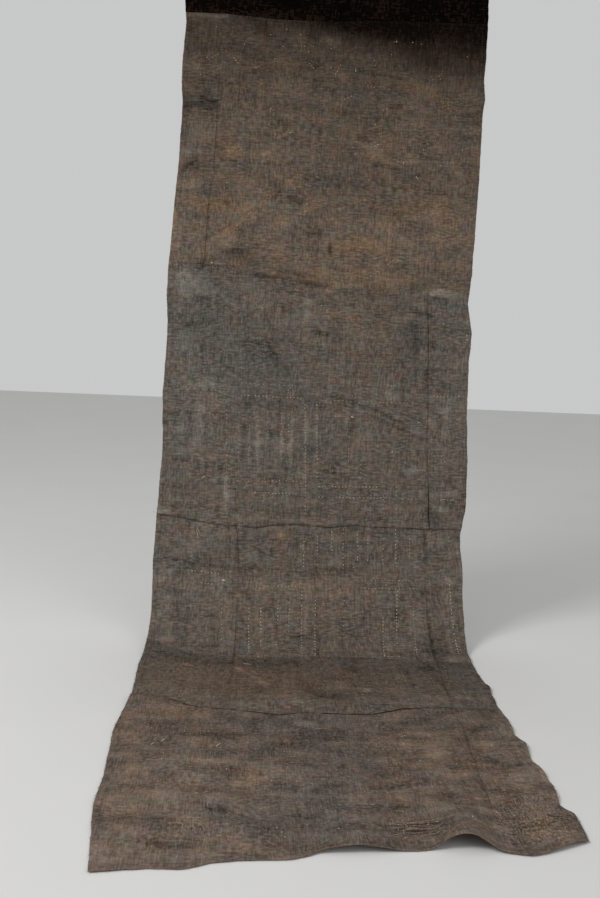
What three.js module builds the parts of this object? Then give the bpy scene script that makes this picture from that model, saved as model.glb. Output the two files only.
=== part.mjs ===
// Kuba cloth: a long raffia skirt cloth, sewn from woven panels and narrow side strips.
// It hangs from its top edge, sweeps out at the foot and runs on over the floor.
// Sizes are in millimetres. X runs across the cloth, +Z is up and its face looks along -Y.
// The origin is the middle of the top edge. "Along" is the length of cloth below that edge.

import * as THREE from 'three';

const DROP = 1540;            // top edge to floor
const THICKNESS = 1.6;
const SEAM_GAP = 0.3;         // clear line between two sewn pieces
const PROBE = 0.5;            // step for finding which way the cloth faces
const HANGING_ROW = 58;       // spacing of the rows of points, straight down the cloth
const SWEEP_ROW = 20;
const FLOOR_ROW = 30;
const SIDE_CLEARANCE = 12;    // a column of points keeps this far from a side line
const SETTLING_PASSES = 4;    // rounds for finding where a row meets a leaning side line

// The foot of the cloth, as arcs one after another, from hanging straight to lying flat.
const SWEEP = [
  { name: 'slack', run: 138, turn: 24 },
  { name: 'slope', run: 130, turn: 36 },
  { name: 'heel', run: 16, turn: 24 },
  { name: 'toe', run: 120, turn: 6 },
];

// The sweep is wider in the middle than at the two sides.
const SWEEP_SIZE = [
  { across: -350, size: 0.90 },
  { across: -225, size: 1.00 },
  { across: 0, size: 1.06 },
  { across: 200, size: 1.04 },
  { across: 350, size: 0.98 },
];

// The side edges wander as hand-hemmed cloth does.
const SIDES = [
  { along: 0, left: -339, right: 361 },
  { along: 94, left: -341, right: 362 },
  { along: 140, left: -336, right: 362 },
  { along: 236, left: -340, right: 359 },
  { along: 282, left: -340, right: 363 },
  { along: 325, left: -335, right: 359 },
  { along: 461, left: -339, right: 358 },
  { along: 599, left: -346, right: 355 },
  { along: 700, left: -351, right: 350 },
  { along: 762, left: -353, right: 345 },
  { along: 828, left: -347, right: 357 },
  { along: 897, left: -348, right: 352 },
  { along: 1002, left: -351, right: 353 },
  { along: 1123, left: -346, right: 360 },
  { along: 1239, left: -351, right: 361 },
  { along: 1300, left: -353, right: 351 },
  { along: 1378, left: -356, right: 358 },
  { along: 1500, left: -351, right: 356 },
  { along: 1600, left: -355, right: 350 },
  { along: 1690, left: -359, right: 348 },
  { along: 1770, left: -358, right: 352 },
  { along: 1860, left: -356, right: 344 },
  { along: 1930, left: -364, right: 347 },
  { along: 1995, left: -369, right: 342 },
  { along: 2022, left: -370, right: 350 },
  { along: 2100, left: -366, right: 342 },
  { along: 2185, left: -363, right: 351 },
  { along: 2250, left: -365, right: 341 },
  { along: 2280, left: -366, right: 354 },
  { along: 2330, left: -360, right: 352 },
  { along: 2445, left: -348, right: 340 },
];

// Seams across the cloth, each a broken line through its rows.
const TOP_EDGE = [
  { across: -340, along: 0 },
  { across: 362, along: 0 },
];
const SEAM_0 = [
  { across: -310, along: 122 },
  { across: -225, along: 121 },
  { across: -120, along: 126 },
  { across: 0, along: 124 },
  { across: 100, along: 115 },
  { across: 305, along: 108 },
];
const SEAM_1 = [
  { across: -310, along: 695 },
  { across: -225, along: 699 },
  { across: -120, along: 713 },
  { across: -40, along: 726 },
  { across: 0, along: 735 },
  { across: 100, along: 737 },
  { across: 200, along: 735 },
  { across: 305, along: 734 },
];
const SEAM_2 = [
  { across: -310, along: 1277 },
  { across: -225, along: 1290 },
  { across: -120, along: 1296 },
  { across: -80, along: 1289 },
  { across: -40, along: 1286 },
  { across: 50, along: 1290 },
  { across: 100, along: 1283 },
  { across: 150, along: 1286 },
  { across: 200, along: 1287 },
  { across: 305, along: 1286 },
];
const SEAM_3 = [
  { across: -310, along: 1871 },
  { across: -270, along: 1882 },
  { across: -225, along: 1899 },
  { across: -120, along: 1916 },
  { across: -80, along: 1924 },
  { across: -40, along: 1911 },
  { across: 50, along: 1915 },
  { across: 100, along: 1912 },
  { across: 150, along: 1892 },
  { across: 200, along: 1881 },
  { across: 305, along: 1879 },
];
const FRONT_EDGE = [
  { across: -310, along: 2448 },
  { across: -270, along: 2439 },
  { across: -225, along: 2437 },
  { across: -190, along: 2421 },
  { across: -155, along: 2413 },
  { across: -80, along: 2407 },
  { across: -40, along: 2389 },
  { across: 10, along: 2385 },
  { across: 50, along: 2384 },
  { across: 105, along: 2379 },
  { across: 135, along: 2374 },
  { across: 170, along: 2378 },
  { across: 200, along: 2380 },
  { across: 255, along: 2392 },
  { across: 280, along: 2386 },
  { across: 315, along: 2371 },
];

// Seams down the cloth, where the narrow strips are sewn on.
const STRIP_1_LEFT = [
  { along: 100, across: -252 },
  { along: 325, across: -256 },
  { along: 480, across: -258 },
  { along: 540, across: -265 },
  { along: 710, across: -272 },
];
const STRIP_2_RIGHT = [
  { along: 720, across: 248 },
  { along: 857, across: 256 },
  { along: 1094, across: 264 },
  { along: 1290, across: 278 },
];
const STRIP_3_LEFT = [
  { along: 1280, across: -171 },
  { along: 1389, across: -158 },
  { along: 1640, across: -164 },
  { along: 1930, across: -181 },
];
const STRIP_3_RIGHT = [
  { along: 1280, across: 264 },
  { along: 1400, across: 272 },
  { along: 1640, across: 273 },
  { along: 1900, across: 252 },
];
const STRIP_4_RIGHT = [
  { along: 1890, across: 250 },
  { along: 1959, across: 256 },
  { along: 2096, across: 242 },
  { along: 2214, across: 235 },
  { along: 2410, across: 228 },
];
const STRIP_1_JOIN = 0.353;   // the upper left strip ends this far down its panel

// Soft folds, puckers and ripples: each is a smooth mound that fades out at its reach,
// longer across or along, turned in the cloth's plane and lifted towards its face.
const FOLDS = [
  { name: 'pucker at the strip join', across: -300, along: 322, wide: 70, long: 60, turn: 10, lift: 6 },
  { name: 'upper billow', across: 60, along: 400, wide: 330, long: 210, turn: -8, lift: 5 },
  { name: 'upper right billow', across: 290, along: 560, wide: 150, long: 150, turn: 20, lift: -4 },
  { name: 'drawn line above seam one', across: -110, along: 680, wide: 190, long: 60, turn: 8, lift: 5 },
  { name: 'hollow below seam one', across: -90, along: 780, wide: 230, long: 70, turn: 5, lift: -4 },
  { name: 'middle billow', across: 110, along: 960, wide: 240, long: 180, turn: 12, lift: 5 },
  { name: 'left hollow', across: -250, along: 1010, wide: 130, long: 220, turn: 0, lift: -4 },
  { name: 'right strip curl', across: 345, along: 900, wide: 70, long: 240, turn: 0, lift: 5 },
  { name: 'billow above seam two', across: -20, along: 1210, wide: 280, long: 80, turn: -3, lift: 4 },
  { name: 'left crease', across: -60, along: 1388, wide: 330, long: 44, turn: 0, lift: -4 },
  { name: 'foot billow', across: 40, along: 1470, wide: 300, long: 70, turn: 3, lift: 4 },
  { name: 'left foot curl', across: -350, along: 1560, wide: 80, long: 90, turn: 0, lift: 5 },
  { name: 'rise behind seam three', across: 30, along: 1850, wide: 360, long: 72, turn: -1, lift: 8 },
  { name: 'rolled left end of seam three', across: -320, along: 1888, wide: 80, long: 60, turn: 12, lift: 6 },
  { name: 'right edge ripple one', across: 335, along: 1780, wide: 90, long: 34, turn: -12, lift: 5 },
  { name: 'right edge ripple two', across: 330, along: 1962, wide: 95, long: 36, turn: -14, lift: 5 },
  { name: 'right edge ripple three', across: 335, along: 2054, wide: 95, long: 34, turn: -12, lift: 5 },
  { name: 'right edge ripple four', across: 330, along: 2142, wide: 100, long: 38, turn: -16, lift: 6 },
  { name: 'right edge ripple five', across: 330, along: 2218, wide: 100, long: 34, turn: -18, lift: 5 },
  { name: 'right edge ripple six', across: 325, along: 2298, wide: 90, long: 34, turn: -16, lift: 5 },
  { name: 'floor puff', across: -20, along: 2140, wide: 150, long: 60, turn: 6, lift: 5 },
  { name: 'left ridge behind the hollow', across: -200, along: 2250, wide: 190, long: 38, turn: 3, lift: 6 },
  { name: 'left ridge before the hollow', across: -205, along: 2326, wide: 185, long: 36, turn: 2, lift: 6 },
  { name: 'low wave at the front edge', across: 10, along: 2390, wide: 78, long: 150, turn: 4, lift: 11 },
  { name: 'high wave at the front edge', across: 166, along: 2384, wide: 56, long: 180, turn: 12, lift: 24 },
  { name: 'front right wave', across: 318, along: 2374, wide: 52, long: 110, turn: -8, lift: 6 },
];

const { lerp, clamp, degToRad } = THREE.MathUtils;

// Reads one column of a table between its rows, in straight lines, and on past its two ends.
function reading(rows, key, value) {
  return (at) => {
    let next = rows.findIndex((row) => row[key] > at);
    if (next < 0) next = rows.length - 1;
    next = Math.max(next, 1);
    const a = rows[next - 1];
    const b = rows[next];
    return lerp(a[value], b[value], (at - a[key]) / (b[key] - a[key]));
  };
}

const leftEdge = reading(SIDES, 'along', 'left');
const rightEdge = reading(SIDES, 'along', 'right');
const sweepSize = reading(SWEEP_SIZE, 'across', 'size');

// Walks the arcs of the foot: how far forward and down the cloth has come after a given run.
function walkSweep(run) {
  let rest = run;
  let angle = 0;
  let forward = 0;
  let down = 0;
  for (const arc of SWEEP) {
    const turn = degToRad(arc.turn);
    const radius = arc.run / turn;
    const part = clamp(rest / arc.run, 0, 1) * turn;
    forward += radius * (Math.cos(angle) - Math.cos(angle + part));
    down += radius * (Math.sin(angle + part) - Math.sin(angle));
    angle += part;
    rest -= arc.run;
  }
  return { forward, down, angle };
}

const SWEEP_RUN = SWEEP.reduce((sum, arc) => sum + arc.run, 0);
const SWEEP_END = walkSweep(SWEEP_RUN);
const RESTING = DROP - THICKNESS / 2;   // depth of the cloth's middle layer where it lies flat

// The middle layer without its folds, with the way it faces.
function plainCloth(across, along) {
  const size = sweepSize(across);
  const straight = RESTING - SWEEP_END.down * size;
  const run = along - straight;
  if (run <= 0) {
    return { point: new THREE.Vector3(across, 0, -along), facing: new THREE.Vector3(0, -1, 0) };
  }
  if (run >= SWEEP_RUN * size) {
    const forward = SWEEP_END.forward * size + run - SWEEP_RUN * size;
    return { point: new THREE.Vector3(across, -forward, -RESTING), facing: new THREE.Vector3(0, 0, 1) };
  }
  const { forward, down, angle } = walkSweep(run / size);
  return {
    point: new THREE.Vector3(across, -forward * size, -straight - down * size),
    facing: new THREE.Vector3(0, -Math.cos(angle), Math.sin(angle)),
  };
}

// Height of one fold at a place on the cloth: a bell that reaches zero at its rim.
function mound(fold, across, along) {
  const turn = degToRad(fold.turn);
  const dx = across - fold.across;
  const ds = along - fold.along;
  const u = (dx * Math.cos(turn) + ds * Math.sin(turn)) / fold.wide;
  const v = (ds * Math.cos(turn) - dx * Math.sin(turn)) / fold.long;
  const fade = Math.max(0, 1 - u * u - v * v);
  return fold.lift * fade * fade;
}

function clothPoint(across, along) {
  const { point, facing } = plainCloth(across, along);
  const lift = FOLDS.reduce((sum, fold) => sum + mound(fold, across, along), 0);
  return point.addScaledVector(facing, lift);
}

// The two faces of the cloth at one place, half its thickness to each side of the middle layer.
function clothFaces(across, along) {
  const middle = clothPoint(across, along);
  const sideways = clothPoint(across + PROBE, along).sub(clothPoint(across - PROBE, along));
  const onward = clothPoint(across, along + PROBE).sub(clothPoint(across, along - PROBE));
  const facing = onward.cross(sideways).normalize();
  return {
    front: middle.clone().addScaledVector(facing, THICKNESS / 2),
    back: middle.clone().addScaledVector(facing, -THICKNESS / 2),
  };
}

// Rows of points down a panel, as shares of its length: closer together where the cloth bends.
function rowShares(top, bottom) {
  const from = top(0);
  const length = bottom(0) - from;
  const bendStarts = RESTING - SWEEP_END.down * sweepSize(0);
  const bendEnds = bendStarts + SWEEP_RUN * sweepSize(0);
  const shares = [0];
  let along = from;
  while (along < from + length) {
    let step = HANGING_ROW;
    if (along > bendEnds) step = FLOOR_ROW;
    else if (along > bendStarts - HANGING_ROW) step = SWEEP_ROW;
    along += step;
    shares.push((along - from) / length);
  }
  const last = shares.at(-1);
  return shares.map((share) => share / last);
}

// Sews one sheet: a closed solid between two side lines, over some of its panel's rows.
function sheetGeometry({ top, bottom, left, right, columns, shares, gaps }) {
  const positions = [];
  const indices = [];
  const width = columns.length + 2;
  shares.forEach((share, row) => {
    let shift = 0;
    if (row === 0) shift = gaps.top;
    if (row === shares.length - 1) shift = -gaps.bottom;
    for (let column = 0; column < width; column += 1) {
      let across = columns[column - 1];
      let along = 0;
      // A side line leans, so its place is found again once the row's place along it is known.
      for (let pass = 0; pass < SETTLING_PASSES; pass += 1) {
        if (column === 0) across = left(along) + gaps.left;
        if (column === width - 1) across = right(along) - gaps.right;
        along = lerp(top(across), bottom(across), share) + shift;
      }
      const { front, back } = clothFaces(across, along);
      positions.push(...front.toArray(), ...back.toArray());
    }
  });
  const front = (row, column) => 2 * (row * width + column);
  const back = (row, column) => front(row, column) + 1;
  const quad = (a, b, c, d) => indices.push(a, b, c, a, c, d);
  const height = shares.length;
  for (let row = 0; row < height - 1; row += 1) {
    for (let column = 0; column < width - 1; column += 1) {
      quad(front(row, column), front(row + 1, column), front(row + 1, column + 1), front(row, column + 1));
      quad(back(row, column), back(row, column + 1), back(row + 1, column + 1), back(row + 1, column));
    }
    const last = width - 1;
    quad(front(row, 0), back(row, 0), back(row + 1, 0), front(row + 1, 0));
    quad(front(row, last), front(row + 1, last), back(row + 1, last), back(row, last));
  }
  for (let column = 0; column < width - 1; column += 1) {
    const last = height - 1;
    quad(front(0, column), front(0, column + 1), back(0, column + 1), back(0, column));
    quad(front(last, column), back(last, column), back(last, column + 1), front(last, column + 1));
  }
  const geometry = new THREE.BufferGeometry();
  geometry.setAttribute('position', new THREE.Float32BufferAttribute(positions, 3));
  geometry.setIndex(indices);
  geometry.computeVertexNormals();
  return geometry;
}

const raffia = (color) => new THREE.MeshStandardMaterial({ color, roughness: 0.92, metalness: 0 });
const kubaCloth = new THREE.Group();

// A panel is cut by its upright seams into pieces, named from left to right.
function addPanel({ top, bottom, seams, pieces, fine, color }) {
  const sides = [leftEdge, ...seams.map((rows) => reading(rows, 'along', 'across')), rightEdge];
  const topLine = reading(top, 'across', 'along');
  const bottomLine = reading(bottom, 'across', 'along');
  const shares = rowShares(topLine, bottomLine);
  const places = [...top, ...bottom].map((row) => row.across).concat(fine);
  const marks = [...new Set(places)].sort((a, b) => a - b);
  const halfGap = SEAM_GAP / 2;
  pieces.forEach((names, index) => {
    const left = sides[index];
    const right = sides[index + 1];
    const reach = shares.map((share) => lerp(topLine(0), bottomLine(0), share));
    const from = Math.max(...reach.map(left)) + SIDE_CLEARANCE;
    const to = Math.min(...reach.map(right)) - SIDE_CLEARANCE;
    const columns = marks.filter((across) => across > from && across < to);
    const parted = names.length > 1;
    const split = Math.round(STRIP_1_JOIN * (shares.length - 1));
    names.forEach((name, part) => {
      const first = parted && part === 1 ? split : 0;
      const last = parted && part === 0 ? split + 1 : shares.length;
      const gaps = {
        left: index > 0 ? halfGap : 0,
        right: index < pieces.length - 1 ? halfGap : 0,
        top: top === TOP_EDGE && first === 0 ? 0 : halfGap,
        bottom: bottom === FRONT_EDGE ? 0 : halfGap,
      };
      const rows = shares.slice(first, last);
      const shape = { top: topLine, bottom: bottomLine, left, right, columns, shares: rows, gaps };
      const piece = new THREE.Mesh(sheetGeometry(shape), raffia(color));
      piece.name = name;
      kubaCloth.add(piece);
    });
  });
}

addPanel({
  top: TOP_EDGE,
  bottom: SEAM_0,
  seams: [],
  pieces: [['top_band']],
  fine: [50, 200],
  color: 0x1a130e,
});
addPanel({
  top: SEAM_0,
  bottom: SEAM_1,
  seams: [STRIP_1_LEFT],
  pieces: [['panel_1_left_strip_upper', 'panel_1_left_strip_lower'], ['panel_1']],
  fine: [-80, 50, 150],
  color: 0x54493f,
});
addPanel({
  top: SEAM_1,
  bottom: SEAM_2,
  seams: [STRIP_2_RIGHT],
  pieces: [['panel_2'], ['panel_2_right_strip']],
  fine: [-170],
  color: 0x58534b,
});
addPanel({
  top: SEAM_2,
  bottom: SEAM_3,
  seams: [STRIP_3_LEFT, STRIP_3_RIGHT],
  pieces: [['panel_3_left_strip'], ['panel_3'], ['panel_3_right_strip']],
  fine: [0],
  color: 0x574d45,
});
addPanel({
  top: SEAM_3,
  bottom: FRONT_EDGE,
  seams: [STRIP_4_RIGHT],
  pieces: [['panel_4'], ['panel_4_right_strip']],
  fine: [-340, -120, 0, 150, 185, 330],
  color: 0x62564d,
});

export default kubaCloth;
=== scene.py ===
import math

import bpy
import numpy as np
from mathutils import Matrix, Vector


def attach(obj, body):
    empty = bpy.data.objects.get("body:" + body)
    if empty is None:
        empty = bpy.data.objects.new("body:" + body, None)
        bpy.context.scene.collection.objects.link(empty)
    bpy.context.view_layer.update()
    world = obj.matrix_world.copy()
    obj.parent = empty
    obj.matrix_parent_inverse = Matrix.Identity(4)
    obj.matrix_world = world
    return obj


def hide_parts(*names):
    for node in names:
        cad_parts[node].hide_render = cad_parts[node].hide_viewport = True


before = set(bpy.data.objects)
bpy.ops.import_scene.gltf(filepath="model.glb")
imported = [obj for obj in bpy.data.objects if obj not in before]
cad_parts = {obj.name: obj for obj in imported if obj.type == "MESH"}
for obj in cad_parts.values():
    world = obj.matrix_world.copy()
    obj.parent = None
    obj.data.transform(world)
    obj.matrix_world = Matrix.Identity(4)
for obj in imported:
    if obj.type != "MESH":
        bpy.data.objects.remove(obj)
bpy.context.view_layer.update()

# Sizes are in millimetres, and a mesh is scaled to metres when it is made. "Across" is the place
# across the cloth, 0 in its middle, and "along" is the length of cloth below its top edge.
MM = 0.001
bpy.ops.object.select_all(action="DESELECT")


def rows(columns, *values):
    """A short table: one array for each named column."""
    return dict(zip(columns.split(), np.array(values, float).T))


# Shape of the cloth

DROP = 1540.0
RESTING = DROP - 0.8           # depth of the cloth's middle layer where it lies on the floor
THICK = 0.9
SEAM_LAP = 7.0                 # how far one piece goes under the next
LAP_RISE = THICK + 0.22        # how far the upper piece stands off to clear the lower one
HEM = 11.0                     # width of the folded hem on a free edge
HEM_RISE = 0.4
NO_HEM = 60.0                  # distance that stands for a place with no hem near it
RIM_BULGE = 0.4                # how far the cut rim of a piece is rounded outwards
CELL = 4.0                     # size of the mesh's cells inside a piece, and its steps near the edges
FINE_STEPS = (0, 0.9, 2.1, 4, 6, 7, 7.9, 9.4, 11.2, 12.6, 15.5, 19)

SWEEP = rows(
    "run turn",
    (138, 24), (130, 36), (16, 24), (120, 6),
)
SWEEP_SIZE = rows("across size", (-350, 0.90), (-225, 1.00), (0, 1.06), (200, 1.04), (350, 0.98))

SIDES = rows(
    "along left right",
    (0, -339, 361), (94, -341, 362), (140, -336, 362), (236, -340, 359), (282, -340, 363),
    (325, -335, 359), (461, -339, 358), (599, -346, 355), (700, -351, 350), (762, -353, 345),
    (828, -347, 357), (897, -348, 352), (1002, -351, 353), (1123, -346, 360), (1239, -351, 361),
    (1300, -353, 351), (1378, -356, 358), (1500, -351, 356), (1600, -355, 350), (1690, -359, 348),
    (1770, -358, 352), (1860, -356, 344), (1930, -364, 347), (1995, -369, 342), (2022, -370, 350),
    (2100, -366, 342), (2185, -363, 351), (2250, -365, 341), (2280, -366, 354), (2330, -360, 352),
    (2445, -348, 340),
)

TOP_EDGE = rows("across along", (-340, 0), (362, 0))
SEAM_0 = rows("across along", (-310, 122), (-225, 121), (-120, 126), (0, 124), (100, 115), (305, 108))
SEAM_1 = rows(
    "across along",
    (-310, 695), (-225, 699), (-120, 713), (-40, 726), (0, 735), (100, 737), (200, 735), (305, 734),
)
SEAM_2 = rows(
    "across along",
    (-310, 1277), (-225, 1290), (-120, 1296), (-80, 1289), (-40, 1286), (50, 1290), (100, 1283),
    (150, 1286), (200, 1287), (305, 1286),
)
SEAM_3 = rows(
    "across along",
    (-310, 1871), (-270, 1882), (-225, 1899), (-120, 1916), (-80, 1924), (-40, 1911), (50, 1915),
    (100, 1912), (150, 1892), (200, 1881), (305, 1879),
)
FRONT_EDGE = rows(
    "across along",
    (-310, 2448), (-270, 2439), (-225, 2437), (-190, 2421), (-155, 2413), (-80, 2407), (-40, 2389),
    (10, 2385), (50, 2384), (105, 2379), (135, 2374), (170, 2378), (200, 2380), (255, 2392),
    (280, 2386), (315, 2371),
)

STRIP_1_LEFT = rows("along across", (100, -252), (325, -256), (480, -258), (540, -265), (710, -272))
STRIP_1_JOIN = rows("across along", (-350, 331), (-300, 325), (-250, 318))
STRIP_2_RIGHT = rows("along across", (720, 248), (857, 256), (1094, 264), (1290, 278))
STRIP_3_LEFT = rows("along across", (1280, -171), (1389, -158), (1640, -164), (1930, -181))
STRIP_3_RIGHT = rows("along across", (1280, 264), (1400, 272), (1640, 273), (1900, 252))
STRIP_4_RIGHT = rows("along across", (1890, 250), (1959, 256), (2096, 242), (2214, 235), (2410, 228))

# Main folds: the mounds that the solids have too.
FOLDS = rows(
    "across along wide long turn lift",
    (-300, 322, 70, 60, 10, 6), (60, 400, 330, 210, -8, 5), (290, 560, 150, 150, 20, -4),
    (-110, 680, 190, 60, 8, 5), (-90, 780, 230, 70, 5, -4), (110, 960, 240, 180, 12, 5),
    (-250, 1010, 130, 220, 0, -4), (345, 900, 70, 240, 0, 5), (-20, 1210, 280, 80, -3, 4),
    (-60, 1388, 330, 44, 0, -4), (40, 1470, 300, 70, 3, 4), (-350, 1560, 80, 90, 0, 5),
    (30, 1850, 360, 72, -1, 8), (-320, 1888, 80, 60, 12, 6), (335, 1780, 90, 34, -12, 5),
    (330, 1962, 95, 36, -14, 5), (335, 2054, 95, 34, -12, 5), (330, 2142, 100, 38, -16, 6),
    (330, 2218, 100, 34, -18, 5), (325, 2298, 90, 34, -16, 5), (-20, 2140, 150, 60, 6, 5),
    (-200, 2250, 190, 38, 3, 6), (-205, 2326, 185, 36, 2, 6), (10, 2390, 78, 150, 4, 11),
    (166, 2384, 56, 180, 12, 24), (318, 2374, 52, 110, -8, 6),
)

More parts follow.
